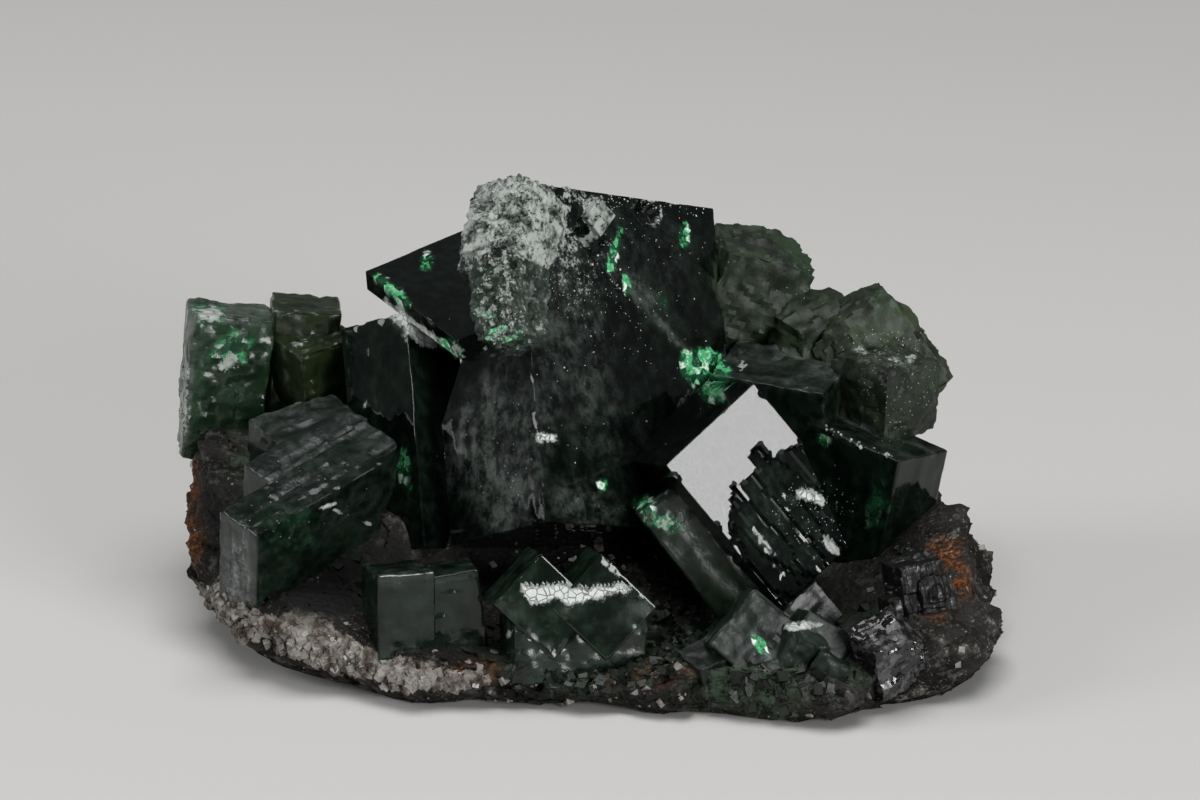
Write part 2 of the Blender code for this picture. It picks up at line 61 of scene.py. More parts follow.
# Crystals, in mm: size along their own axes, centre and turn, or the crystal they sit on
# and their place in its axes. step is the grid spacing, round the width of the worn edges,
# plates how many growth plates a face has, plateHeight their height and crumble how far
# the skin has crumbled. melt is how far a dissolved block is drawn to a ball, lump and
# rough the height of its lumps and crumbs. From 0 to 1, milk is how cloudy a crystal is,
# tone how green, olive how yellow, frost how white (painted highlights from the marks go on the same value)
# and etch how dull.
# lines are growth lines: face, the way they run, height and spacing.
# silver streaks are frost in streaks, and partly a painted glimmer of light: face, the way they run and
# strength.
# cuts are cleaved corners: the way a cut faces and a point on it, in half sizes.
etchedKind = dict(step=0.5, melt=0.38, lump=0.8, rough=0.34, etch=0.85, olive=0.5)
mainCrystals = {
    "mainBlock": dict(
        size=(31, 15.5, 38), centre=(-0.5, 12.6, 27.3), turn=mainTurn, step=0.5, round=0.12,
        plates=34, plateHeight=0.035, milk=0.3, tone=0.15,
        cuts=[dict(facing=(-0.25, 1.6, 1.0), through=(-1, -0.96, 0.98))],
        marks=[("pit", frontFace, dict(middle=(20, 36.4), reach=(1.9, 1.3), deep=1.5)),
               ("hollow", frontFace, dict(outline=((7.6, 33.8), (13.4, 33.4), (11, 29.6)), deep=2.4))]),
    "chip": dict(
        size=(3.2, 3.2, 3.2), on="mainBlock", at=(-3.9, -7.25, 16.4), turn=(20, 35, 10), step=0.3,
        round=0.12, milk=0.6, tone=0.3, frostAndHighlight=0.75, etch=0.1),
    "leftBlock": dict(
        size=(8, 11, 27), centre=(-20.4, 11.2, 20.0), turn=mainTurn, step=0.6, round=0.15,
        plates=20, plateHeight=0.05, milk=0.3, tone=0.35, etch=0.05),
    "wedge": dict(
        size=(19, 18, 16), centre=(-12.1, 17.5, 30.2), turn=(12, 11, -54), step=0.55, round=0.12,
        plates=14, plateHeight=0.03, milk=0.22, tone=0.3,
        cuts=[dict(facing=(0, -0.6, -0.8), through=(0, -1, 0.7))]),
    "mirrorCube": dict(
        size=(21, 16, 13.5), centre=(17.5, 0.2, 17.4), turn=mirrorTurn, step=0.34, round=0.1,
        milk=0.15, tone=0.1, cuts=[dict(facing=(0.28, 0, 0.96), through=(-0.2, 0, 1))],
        marks=[("broken", frontFace, dict(
            outline=((12.2, -1), (7.1, 4.2), (7.4, 7.6), (5.6, 7.7), (5.7, 9.6), (7.5, 9.7),
                     (9, 15), (23, 15), (23, -1)),
            deep=0.5))]),
    "mirrorFoot": dict(
        size=(5, 6, 5.5), centre=(23.7, -7.4, 6.0), turn=mirrorTurn, step=0.35, round=0.12,
        plates=5, plateHeight=0.12, milk=0.45, tone=0.1, frostAndHighlight=0.15, etch=0.5,
        lines=[(frontFace, alongZ, 0.12, 0.7)], silverAndGlimmer=[(frontFace, alongZ, 0.34)]),
    "greenBar": dict(
        size=(18, 9, 9), centre=(13.8, -1.8, 11.7), turn=(-19, 52, -9), step=0.42, round=0.4,
        plates=12, plateHeight=0.06, milk=0.45, tone=0.9, etch=0.4, crumble=0.15, olive=0.2),
    "backCube": dict(
        size=(14, 12, 15), centre=(2.0, 24.5, 24.0), turn=(8, -14, 20), step=0.6, round=0.25,
        plates=14, plateHeight=0.1, milk=0.5, tone=0.55, frostAndHighlight=0.05, etch=0.4, crumble=0.15),
    "rightCube": dict(
        size=(18, 9, 15), centre=(29.6, 10.9, 14.1), turn=(-6, 8, -42), step=0.5, round=0.25,
        plates=14, plateHeight=0.06, milk=0.3, tone=0.45, etch=0.1, silverAndGlimmer=[(topFace, alongX, 0.36)]),
    "middleCube": dict(
        size=(14, 9, 11), centre=(22.0, 16.2, 22.0), turn=(11, 3, -23), step=0.5, round=0.3,
        plates=12, plateHeight=0.1, milk=0.4, tone=0.45, etch=0.45, crumble=0.3,
        silverAndGlimmer=[(topFace, alongX, 0.3)]),
    "etchedTall": dict(
        etchedKind, size=(11.5, 12, 19), centre=(17.4, 28.0, 29.5), turn=(4, 19, 8), seed=3,
        milk=0.75, tone=0.55),
    "etchedMiddle": dict(
        etchedKind, size=(10, 9, 12), centre=(26.4, 23.0, 26.6), turn=(6, -8, 30), seed=9,
        milk=0.7, tone=0.5, olive=0.6),
    "etchedRight": dict(
        etchedKind, size=(14, 12, 12), centre=(33.1, 21.3, 26.0), turn=etchedTurn, step=0.46, seed=8,
        milk=0.8, tone=0.75, olive=0.9),
    "etchedLow": dict(
        etchedKind, size=(9, 9, 9), centre=(33.8, 14.2, 24.6), turn=(-1, 2, -49), step=0.4, melt=0.3,
        lump=0.5, rough=0.22, seed=5, milk=0.5, tone=0.5),
    "crestHigh": dict(
        size=(8.5, 8, 9.5), centre=(-8.2, 5.8, 46.2), turn=(-20, 38, 42), step=0.27, melt=0.55,
        lump=0.7, rough=0.3, seed=11, milk=0.9, tone=0.2, frostAndHighlight=0.7, etch=0.8),
    "crestSide": dict(
        size=(5.6, 5.2, 6.4), centre=(-10.6, 5.2, 43.3), turn=(-20, 40, 42), step=0.27, melt=0.5,
        lump=0.5, rough=0.35, seed=12, milk=0.9, tone=0.3, frostAndHighlight=0.42, etch=0.8),
    "crestLow": dict(
        size=(6.5, 6, 13), centre=(-8.6, 1.6, 41.0), turn=mainTurn, step=0.28, melt=0.45,
        lump=0.6, rough=0.45, seed=14, milk=0.85, tone=0.8, frostAndHighlight=0.24, etch=0.7),
    "leftCube": dict(
        size=(19, 6, 15), centre=(-31.7, -4.0, 13.4), turn=leftTurn, step=0.32, round=0.15,
        plates=10, plateHeight=0.05, milk=0.35, tone=0.7, etch=0.1,
        lines=[(topFace, alongX, 0.35, 0.9), (leftFace, alongZ, 0.18, 0.8)],
        silverAndGlimmer=[(topFace, alongX, 0.36), (leftFace, alongZ, 0.6), (frontFace, alongX, 0.1)]),
    "leftStep": dict(
        size=(15.5, 8.5, 14.5), centre=(-30.1, 2.8, 15.2), turn=leftTurn, step=0.4, round=0.2,
        plates=10, plateHeight=0.08, milk=0.4, tone=0.5, etch=0.35,
        lines=[(topFace, alongX, 0.4, 1.2)], silverAndGlimmer=[(topFace, alongX, 0.42)]),
    "leftLedge": dict(
        size=(11, 8, 13), centre=(-31.5, 9.5, 17.0), turn=(8, -7, 33), step=0.46, round=0.35,
        plates=10, plateHeight=0.14, milk=0.45, tone=0.35, frostAndHighlight=0.03, etch=0.5, crumble=0.35,
        silverAndGlimmer=[(topFace, alongX, 0.3)]),
}

lowKind = dict(step=0.32, round=0.2, plates=8, plateHeight=0.07, milk=0.45, etch=0.15,
               silverAndGlimmer=[(topFace, alongX, 0.2)])
lowLeftCrystals = {
    "lowCubeA": dict(
        lowKind, size=(6.5, 6, 9.5), centre=(-20.6, -13.8, 8.8), turn=(-6, 2, 20), tone=0.55, frostAndHighlight=0.04),
    "lowCubeB": dict(
        lowKind, size=(6.2, 6, 9), centre=(-15.0, -11.6, 8.3), turn=(-6, -6, 12), tone=0.45, frostAndHighlight=0.02),
}

oliveKind = dict(step=0.4, round=0.4, plates=14, plateHeight=0.14, etch=0.4, crumble=0.25, olive=0.9)
backLeftCrystals = {
    "backLeftCube": dict(
        size=(9.5, 9, 17), centre=(-42.1, 22.4, 23.4), turn=(-4, 6, 8), step=0.35, round=0.45,
        plates=16, plateHeight=0.14, milk=0.6, tone=0.9, frostAndHighlight=0.05, etch=0.3, crumble=0.25, olive=0.3,
        cuts=[dict(facing=(-1, -0.2, 0.32), through=(-0.75, -1, 1))],
        silverAndGlimmer=[(topFace, alongX, 0.5), (leftFace, alongZ, 0.42)]),
    "oliveCube": dict(
        oliveKind, size=(8, 9, 16), centre=(-33.3, 26.2, 23.4), turn=(-4, 4, 5), milk=0.45, tone=0.35),
    "innerCube": dict(
        oliveKind, size=(9, 9, 14), centre=(-32.1, 23.5, 22.3), turn=(8, -6, 40), milk=0.4, tone=0.2),
}

twinKind = dict(turn=frontTurn, step=0.3, round=0.18, plates=3, plateHeight=0.03, milk=0.55, tone=0.6,
                etch=0.05)
frontCrystals = {
    "twinA": dict(twinKind, size=(9, 8, 7.5), centre=(-5.1, -15.4, 10.2)),
    "twinB": dict(twinKind, size=(8.5, 8, 8), centre=(1.0, -14.5, 9.8)),
    "twinFoot": dict(
        size=(15, 8, 8), centre=(-1.6, -15.2, 5.8), turn=(-8, 4, 12), step=0.35, round=0.5,
        plates=10, plateHeight=0.07, milk=0.6, tone=0.7, etch=0.3, crumble=0.2),
}

smallSugaryKind = dict(step=0.28, round=0.25, plates=3, plateHeight=0.06, milk=0.7, tone=0.4, frostAndHighlight=0.04,
                       etch=0.6, crumble=0.3)
largeSugaryKind = dict(step=0.28, round=0.3, plates=6, plateHeight=0.1, milk=0.45, crumble=0.3)
sugaryCrystals = {
    "sugaryA": dict(smallSugaryKind, size=(4.5, 4, 5), centre=(22.8, -21.0, 6.3), turn=(10, 20, 25)),
    "sugaryB": dict(smallSugaryKind, size=(4, 4, 4), centre=(25.6, -21.6, 4.6), turn=(-15, 30, -10)),
    "sugaryC": dict(smallSugaryKind, size=(3.5, 3.5, 3.5), centre=(20.6, -21.8, 4.0), turn=(25, -10, 40)),
    "sugaryD": dict(
        largeSugaryKind, size=(8, 6, 8), centre=(18.0, -18.0, 6.9), turn=(-28, 40, -10), tone=0.5, etch=0.7),
    "sugaryE": dict(
        largeSugaryKind, size=(6, 5, 5), centre=(13.6, -19.0, 4.2), turn=(10, -15, 30), tone=0.3, etch=0.8),
    "sugaryF": dict(
        largeSugaryKind, size=(6, 5, 7), centre=(24.0, -17.6, 5.6), turn=(-20, 35, 5), tone=0.35, etch=0.75),
}

metalKind = dict(turn=metalTurn, step=0.18, round=0.15)
metalCrystals = {
    "metalCube": dict(
        metalKind, size=(5, 5, 6), centre=(35.6, -11.5, 10.6), plates=14, plateHeight=0.2,
        lines=[(frontFace, alongZ, 0.3, 0.6), (topFace, alongX, 0.2, 0.7)]),
    "metalStep": dict(
        metalKind, size=(4, 3.4, 4.6), centre=(37.4, -12.6, 10.2), plates=12, plateHeight=0.18,
        lines=[(frontFace, alongZ, 0.25, 0.5)]),
    "metalChip": dict(metalKind, size=(3, 3, 3), centre=(33.6, -13.2, 8.6), plates=6, plateHeight=0.14),
}
glassyCrystals = {
    "glassyBlock": dict(
        size=(6.5, 5.5, 7), centre=(32.2, -19.6, 6.0), turn=(12, -18, 30), step=0.2, round=0.3,
        plates=14, plateHeight=0.2, crumble=0.3, cuts=[dict(facing=(1, -0.4, 1), through=(0.55, -1, 0.7))]),
}


# Numbers in 0 to 1 for whole cells: each count and the seed times a large prime, mixed bit
# by bit.
def cellChance(cells, seed):
    x, y, z = (cells[..., i].astype(np.int64) for i in range(3))
    mixed = (x * 73856093) ^ (y * 19349663) ^ (z * 83492791) ^ (seed * 2654435761)
    mixed = (mixed ^ (mixed >> 13)) * 1274126177
    mixed = (mixed ^ (mixed >> 16)) & 0xFFFFFF
    return mixed / float(0xFFFFFF)


# Smooth noise in -1 to 1: chance at the eight corners of a cell, eased between them.
def softNoise(points, size, seed):
    place = points / size
    low = np.floor(place)
    share = place - low
    share = share * share * (3 - 2 * share)
    total = np.zeros(len(points))
    for i in (0, 1):
        for j in (0, 1):
            for k in (0, 1):
                corner = cellChance(low + (i, j, k), seed)
                wx = share[:, 0] if i else 1 - share[:, 0]
                wy = share[:, 1] if j else 1 - share[:, 1]
                wz = share[:, 2] if k else 1 - share[:, 2]
                total += corner * wx * wy * wz
    return total * 2 - 1


# Layers of smooth noise, each half as large and half as high as the last.
def layeredNoise(points, size, layers, seed):
    total = np.zeros(len(points))
    for layer in range(layers):
        total += softNoise(points, size / 2 ** layer, seed + layer) / 2 ** layer
    return total


# One level in -1 to 1 for each small block, so a surface breaks into little cubes.
def blockNoise(points, size, seed):
    return cellChance(np.floor(points / size), seed) * 2 - 1


# Distance to the nearest of points scattered one to a cell, in cells: rounded grains.
def grainNoise(points, size, seed):
    place = points / size
    low = np.floor(place)
    nearest = np.full(len(points), 9.0)
    for i in (-1, 0, 1):
        for j in (-1, 0, 1):
            for k in (-1, 0, 1):
                cell = low + (i, j, k)
                spot = cell + np.stack([cellChance(cell, seed + n) for n in (1, 2, 3)], -1)
                nearest = np.minimum(nearest, np.linalg.norm(place - spot, axis=1))
    return nearest


def turnMatrix(turn):
    return np.array(Euler([math.radians(angle) for angle in turn]).to_matrix())


# A crystal's turn and centre. One that sits on another is placed in that one's own axes.
def placeOf(spec):
    turn = turnMatrix(spec["turn"])
    if "on" not in spec:
        return turn, np.array(spec["centre"])
    ground, centre = placeOf(mainCrystals[spec["on"]])
    return ground @ turn, centre + ground @ np.array(spec["at"])


cornerSigns = np.array([(i, j, k) for i in (-1, 1) for j in (-1, 1) for k in (-1, 1)])


def blockCorners(spec):
    turn, centre = placeOf(spec)
    return cornerSigns * np.array(spec["size"]) / 2 @ turn.T + centre


# The frame's origin is under the middle of the whole, so the crystals move with it.
metalCorners = np.vstack([blockCorners(spec) for spec in metalCrystals.values()])
shift = np.array(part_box("galena")[0]) * 1000 - metalCorners.min(axis=0)
print("stage: moved by", shift.round(2))


def toLocal(points, spec):
    turn, centre = placeOf(spec)
    return (points - shift - centre) @ turn


def toWorld(points, spec):
    turn, centre = placeOf(spec)
    return points @ turn.T + centre + shift


# The camera looks down at the cluster from in front, at the photograph's angle. sheet is
# the picture's width and height, and every mark further down has its place on it.
view = dict(target=(1.3, 0.0, 28.3), elevation=18.0, distance=496.5, lens=135.0, sensor=36, sheet=(1200, 800))
tilt = math.radians(view["elevation"])
viewBack = np.array((0, -math.cos(tilt), math.sin(tilt)))
viewUp = np.array((0, math.sin(tilt), math.cos(tilt)))
viewTarget = np.array(view["target"]) + shift
sheetScale = view["lens"] / view["sensor"] * view["sheet"][0]
sheetMiddle = (view["sheet"][0] / 2, view["sheet"][1] / 2)


# Where a point lies on the sheet: how far it is to the right of and below the line of
# sight, over how far it is from the camera.
def sheetPlace(points):
    fromEye = points - viewTarget - viewBack * view["distance"]
    scale = sheetScale / -(fromEye @ viewBack)
    return sheetMiddle[0] + fromEye[:, 0] * scale, sheetMiddle[1] - (fromEye @ viewUp) * scale


def newObject(name, data):
    thing = bpy.data.objects.new(name, data)
    bpy.context.scene.collection.objects.link(thing)
    return thing


# Grid lines along one side of a block: even steps, with three more in each worn edge.
def gridLines(half, step, worn):
    inner = half - worn * 1.5
    count = max(2, int(round(2 * inner / step)))
    middle = np.linspace(-inner, inner, count + 1)
    edge = np.array([half - worn * 0.9, half - worn * 0.35, half])
    return np.concatenate([-edge[::-1], middle, edge])


# A block's skin: the outer points of a lattice of x, y and z lines, six sheets that
# share their border points, each sheet a grid of two of the three lines.
def blockSkin(size, step, worn):
    half = np.array(size) / 2
    lines = [gridLines(reach, step, worn) for reach in half]
    counts = [len(line) for line in lines]
    quads = []
    for axis in range(3):
        b, c = (axis + 1) % 3, (axis + 2) % 3
        for side in (0, counts[axis] - 1):
            jb, jc = np.meshgrid(np.arange(counts[b]), np.arange(counts[c]), indexing="ij")
            index = [None, None, None]
            index[axis] = np.full_like(jb, side)
            index[b], index[c] = jb, jc
            key = (index[0] * counts[1] + index[1]) * counts[2] + index[2]
            sheet = np.stack([key[:-1, :-1], key[1:, :-1], key[1:, 1:], key[:-1, 1:]], -1).reshape(-1, 4)
            quads.append(sheet if side else sheet[:, ::-1])
    used, where = np.unique(np.concatenate([q.ravel() for q in quads]), return_inverse=True)
    i, rest = np.divmod(used, counts[1] * counts[2])
    j, k = np.divmod(rest, counts[2])
    points = np.stack([lines[0][i], lines[1][j], lines[2][k]], -1)
    return points, where.reshape(-1, 4)


# How much each of the three face directions counts at a point: 1 on a face, both at an edge.
def faceShares(points, half, width):
    return np.clip((np.abs(points) - (half - width)) / width, 0, 1)


# The two directions that lie in a face.
def inFace(axis):
    return [other for other in range(3) if other != axis]


# Growth plates: how far they reach, as a share of the half face, how high they rise, as a
# share of plateHeight, which share of them is sunk, how high they pile up, and in mm the
# width and the waviness of their borders and the width of the face's edge.
plateForm = dict(reach=(0.12, 0.75), rise=(0.3, 1.0), sunk=0.35, pile=2.5, border=0.18, wave=0.35, edge=0.3)


# Growth plates: low rectangles, sides along the crystal's own, added up face by face.
def plateHeights(points, half, spec, seed):
    chance = np.random.default_rng(seed)
    form = plateForm
    out = np.zeros_like(points)
    share = faceShares(points, half, form["edge"])
    wobble = layeredNoise(points, 3.0, 3, seed) * form["wave"]
    for axis in range(3):
        b, c = inFace(axis)
        for sign in (-1, 1):
            height = np.zeros(len(points))
            for _ in range(spec["plates"]):
                middle = chance.uniform(-1, 1, 2) * (half[b], half[c])
                reach = chance.uniform(*form["reach"], 2) * (half[b], half[c])
                lift = chance.uniform(*form["rise"]) * spec["plateHeight"]
                lift = lift * chance.choice((-1, 1), p=(form["sunk"], 1 - form["sunk"]))
                inside = np.minimum(reach[0] - np.abs(points[:, b] - middle[0]),
                                    reach[1] - np.abs(points[:, c] - middle[1])) + wobble
                height += lift * np.clip(inside / form["border"], 0, 1)
            facing = (points[:, axis] * sign > 0) * share[:, axis]
            out[:, axis] += sign * facing * np.minimum(height, form["pile"] * spec["plateHeight"])
    return out


# Growth lines: a face rises in long steps that run one way, a little wavy along them. Each
# step has its own level and slopes up to its border.
def lineHeights(points, half, spec, seed):
    out = np.zeros_like(points)
    share = faceShares(points, half, 0.4)
    for n, ((axis, sign), along, height, spacing) in enumerate(spec.get("lines", ())):
        across = 3 - axis - along
        slow = np.stack([points[:, along] * 0.22, points[:, across], 0 * points[:, axis]], -1)
        place = (points[:, across] + layeredNoise(slow, 2.5, 2, seed + n) * 0.5 * spacing) / spacing
        level = np.floor(place)
        chance = cellChance(np.stack([level, 0 * level, 0 * level], -1), seed + n)
        rise = 0.65 * chance + 0.35 * (place - level) - 0.6
        out[:, axis] += sign * (points[:, axis] * sign > 0) * share[:, axis] * height * rise
    return out


# How far inside an outline a place is, in the outline's own units, and below 0 outside it.
def insideBy(u, v, outline):
    corners = np.array(outline, float)
    nearest = np.full(len(u), 1e9)
    inside = np.zeros(len(u), bool)
    for (ax, ay), (bx, by) in zip(corners, np.roll(corners, -1, axis=0)):
        dx, dy = bx - ax, by - ay
        along = np.clip(((u - ax) * dx + (v - ay) * dy) / (dx * dx + dy * dy), 0, 1)
        nearest = np.minimum(nearest, np.hypot(u - ax - along * dx, v - ay - along * dy))
        crosses = (ay > v) != (by > v)
        inside ^= crosses & (u < ax + (v - ay) * dx / (dy if dy else tiny))
    return np.where(inside, nearest, -nearest)


# Broken stone: each cell of a scatter of spots is a flat facet with its own level and its
# own tilt of up to lean. fall is a slope along v that all of them share.
def facetNoise(u, v, size, seed, lean, fall=0.0):
    place = np.stack([u / size, v / size, 0 * u], -1)
    low = np.floor(place)
    nearest, height = np.full(len(u), 9.0), np.zeros(len(u))
    for i in (-1, 0, 1):
        for j in (-1, 0, 1):
            cell = low + (i, j, 0)
            away = place - cell - np.stack([cellChance(cell, seed + n) for n in (1, 2)] + [0 * u], -1)
            distance = np.linalg.norm(away, axis=1)
            slope = [(cellChance(cell, seed + n) * 2 - 1) * lean for n in (3, 4)]
            level = slope[0] * away[:, 0] * size + (slope[1] + fall) * away[:, 1] * size
            level = level + cellChance(cell, seed + 5) * 0.15
            height = np.where(distance < nearest, level, height)
            nearest = np.minimum(nearest, distance)
    return height


# The broken half of the mirror face: how much the ribs are drawn out along u and packed
# across it, how far they bend each way, the size, tilt and common fall of the ribs, and
# the size, tilt and height of the chips on them.
brokenForm = dict(drawn=0.3, packed=1.2, bend=(0.4, 0.35), ribs=(2.1, 0.05, 0.24), chips=(0.7, 0.08, 0.25))


# Long ribs and small chips on them, under a ragged border.
def brokenDepth(points, u, v, mark, seed):
    form = brokenForm
    ragged = layeredNoise(points, 1.2, 3, seed) * 0.35
    inside = np.clip((insideBy(u, v, mark["outline"]) + ragged) / 0.3, 0, 1)
    along = u * form["drawn"] + layeredNoise(points, 2.5, 2, seed + 5) * form["bend"][0]
    across = v * form["packed"] + layeredNoise(points, 2.0, 2, seed + 6) * form["bend"][1]
    ribSize, ribTilt, ribFall = form["ribs"]
    chipSize, chipTilt, chipHeight = form["chips"]
    ribs = facetNoise(along, across, ribSize, seed, ribTilt, ribFall)
    chips = facetNoise(along, across, chipSize, seed + 9, chipTilt) * chipHeight
    grain = layeredNoise(points * (0.3, 1, 1.6), 0.9, 3, seed) * 0.05
    return inside * np.maximum(mark["deep"] + (ribs + chips) - 0.15 + grain, 0.05)


# Marks sunk into a face, as depth below it: a round pit, an angular hollow or a broken area.
def sunkMarks(points, half, spec, seed):
    out = np.zeros_like(points)
    for kind, (axis, sign), mark in spec.get("marks", ()):
        b, c = inFace(axis)
        u, v = points[:, b] + half[b], points[:, c] + half[c]
        if kind == "pit":
            across = (u - mark["middle"][0]) / mark["reach"][0]
            upward = (v - mark["middle"][1]) / mark["reach"][1]
            depth = mark["deep"] * np.sqrt(np.clip(1 - across ** 2 - upward ** 2, 0, 1))
        elif kind == "hollow":
            depth = mark["deep"] * np.clip(insideBy(u, v, mark["outline"]) / 0.9, 0, 1)
        else:
            depth = brokenDepth(points, u, v, mark, seed)
        facing = (points[:, axis] * sign > 0) * (np.abs(points[:, axis]) > half[axis] - 0.35)
        out[:, axis] -= sign * facing * depth
    return out


# Wear of grown crystals, in mm: size, start, limit and depth of the chips in their edges,
# sizes of the two layers of crumbs, and the width of an edge.
wearForm = dict(chipSize=2.2, chipStart=0.35, chipLimit=0.6, chipDepth=0.55, crumbs=(1.8, 0.9), edge=0.55)


# A grown crystal: a block's skin with worn edges, growth plates and lines, crumbled skin
# and small chips out of its edges, where two faces meet and a smooth noise runs high.
def cubeSkin(spec, seed):
    half = np.array(spec["size"]) / 2
    worn, wear = spec["round"], wearForm
    points, quads = blockSkin(spec["size"], spec["step"], worn)
    inner = np.clip(points, -(half - worn), half - worn)
    away = points - inner
    outward = away / np.maximum(np.linalg.norm(away, axis=1, keepdims=True), tiny)
    meeting = np.sort(faceShares(points, half, wear["edge"]), axis=1)[:, 1]
    chip = layeredNoise(points, wear["chipSize"], 3, seed + 7) - wear["chipStart"]
    chip = np.clip(chip, 0, wear["chipLimit"]) * meeting * wear["chipDepth"]
    coarse, fine = wear["crumbs"]
    crumble = layeredNoise(points, coarse, 3, seed + 3) * 0.5 + blockNoise(points, fine, seed + 4) * 0.25
    skin = inner + outward * (worn - chip + (crumble - 0.25) * spec.get("crumble", 0))[:, None]
    if "plates" in spec:
        skin = skin + plateHeights(points, half, spec, seed)
    return skin + lineHeights(points, half, spec, seed) + sunkMarks(points, half, spec, seed), quads


# Dissolved crystals: radius of the ball they are drawn to, as a share of the block's size,
# and in mm the sizes of their lumps and of three layers of crumbs.
dissolved = dict(ball=0.62, lumps=3.4, blocks=(0.9, 0.45), crumbs=0.9)


# A dissolved crystal: the block's skin drawn part way to a ball, then lumps and crumbs.
def meltedSkin(spec):
    size, seed = np.array(spec["size"]), spec["seed"]
    points, quads = blockSkin(spec["size"], spec["step"], 0.1)
    unit = points / size
    direction = unit / np.linalg.norm(unit, axis=1, keepdims=True)
    place = (unit + (direction * dissolved["ball"] - unit) * spec["melt"]) * size
    lumps = layeredNoise(place + seed * 7.0, dissolved["lumps"], 2, seed) * spec["lump"] * 0.8
    coarse, fine = dissolved["blocks"]
    crumbs = blockNoise(place, coarse, seed) * 0.5 + blockNoise(place, fine, seed + 4) * 0.3
    crumbs = crumbs + layeredNoise(place, dissolved["crumbs"], 3, seed + 9) * 0.6
    return place + direction * (lumps + crumbs * spec["rough"])[:, None], quads


def solidMesh(name, points, faces):
    mesh = bpy.data.meshes.new(name)
    mesh.from_pydata((points * mm).tolist(), [], faces.tolist() if isinstance(faces, np.ndarray) else faces)
    mesh.update()
    return mesh


# Cuts everything beyond a plane off a closed mesh and closes the cut.
def cleave(thing, spec):
    for cut in spec.get("cuts", ()):
        normal = placeOf(spec)[0] @ (np.array(cut["facing"]) / np.linalg.norm(cut["facing"]))
        place = toWorld(np.array([cut["through"]]) * np.array(spec["size"]) / 2, spec)[0] * mm
        bm = bmesh.new()
        bm.from_mesh(thing.data)
        halves = bmesh.ops.bisect_plane(bm, geom=bm.verts[:] + bm.edges[:] + bm.faces[:], plane_co=place,
                                        plane_no=normal, clear_outer=True)
        edges = [item for item in halves["geom_cut"] if isinstance(item, bmesh.types.BMEdge)]
        bmesh.ops.holes_fill(bm, edges=edges, sides=0)
        bmesh.ops.triangulate(bm, faces=[face for face in bm.faces if len(face.verts) > 4])
        bm.to_mesh(thing.data)
        bm.free()


def grownCrystal(name, spec, seed):
    points, quads = meltedSkin(spec) if "melt" in spec else cubeSkin(spec, seed)
    thing = newObject(name, solidMesh(name, toWorld(points, spec), quads))
    cleave(thing, spec)
    return thing


def smoothUpTo(piece, degrees):
    piece.data.shade_smooth()
    piece.data.set_sharp_from_angle(angle=math.radians(degrees))


# One skin round crystals that have grown into each other: the union of their closed skins.
def growTogether(name, group):
    things = [grownCrystal(part, spec, 20 + 9 * n) for n, (part, spec) in enumerate(group.items())]
    first = things[0]
    for other in things[1:]:
        join = first.modifiers.new(other.name, "BOOLEAN")
        join.operation = "UNION"
        join.solver = "MANIFOLD"
        join.object = other
    bpy.context.view_layer.update()
    mesh = bpy.data.meshes.new_from_object(first.evaluated_get(bpy.context.evaluated_depsgraph_get()))
    for thing in things:
        bpy.data.objects.remove(thing, do_unlink=True)
    mesh.name = name
    piece = newObject(name, mesh)
    smoothUpTo(piece, 22)
    print("stage:", name, len(mesh.loops) - 2 * len(mesh.polygons), "triangles")
    return piece


def pointsOf(piece):
    flat = np.empty(len(piece.data.vertices) * 3)
    piece.data.vertices.foreach_get("co", flat)
    return flat.reshape(-1, 3) / mm


def normalsOf(piece):
    flat = np.empty(len(piece.data.vertices) * 3, dtype=np.float32)
    piece.data.vertex_normals.foreach_get("vector", flat)
    return flat.reshape(-1, 3).astype(float)


def writeValue(piece, name, values):
    layer = piece.data.attributes.new(name, "FLOAT", "POINT")
    layer.data.foreach_set("value", np.clip(values, 0, 1).astype(np.float32))


print("stage: crystals")
mainPiece = growTogether("mainCluster", mainCrystals)
lowPiece = growTogether("lowLeftCubes", lowLeftCrystals)
backPiece = growTogether("backLeftCubes", backLeftCrystals)
frontPiece = growTogether("frontTwin", frontCrystals)
sugaryPiece = growTogether("sugaryCubes", sugaryCrystals)
metalPiece = growTogether("galenaSteps", metalCrystals)
glassyPiece = growTogether("calciteBlock", glassyCrystals)

# The rock, in mm: outline radius, rim height, height half way in and lift of its lower
# edge, every 22.5 degrees from +X round through +Y, as the frame's own rock has them.
# foot, belly and brow are shares of the radius: where its side starts, how far that
# bulges and where the top starts. Last come the size and height of each layer of its
# relief. That leans up by leanUp, and what is lower than flatBelow lies on the ground.
rockForm = dict(
    centre=(0, 4), middle=8, shoulderShare=0.45, around=480, rings=(30, 70, 90),
    foot=0.9, belly=0.1, brow=0.94, leanUp=0.45, flatBelow=0.25,
    radius=(45, 40, 36, 31, 30, 32, 42, 49.5, 45, 41, 32.5, 26.5, 26.5, 30, 41, 47.5),
    rim=(13.5, 14.5, 16, 18, 18, 18, 18, 19, 18, 10, 5.5, 4.5, 4, 5, 5.5, 9.5),
    shoulder=(6, 11, 18, 20, 20, 20, 18, 16, 14, 8, 5, 4, 4, 4, 3, 4),
    lift=(1, 1, 1, 1, 1, 1, 2, 5, 6, 4, 0.5, 0.5, 1.5, 0.5, 0.5, 0.5),
    lumps=(11, 1.3), ledges=(5.0, 2.6), steps=(2.3, 0.4), grains=(1.3, 0.6), fine=(1.2, 0.35),
    pits=(3.0, 3.0), grit=(1.0, 0.22),
)


def easeBetween(start, end, share):
    return start + (end - start) * (1 - np.cos(np.pi * share)) / 2


# A value given at even angles round the rock, eased between them.
def smoothRing(values, angle):
    values = np.array(values, dtype=float)
    place = (angle / (2 * np.pi)) % 1 * len(values)
    low = np.floor(place).astype(int) % len(values)
    return easeBetween(values[low], values[(low + 1) % len(values)], place - np.floor(place))


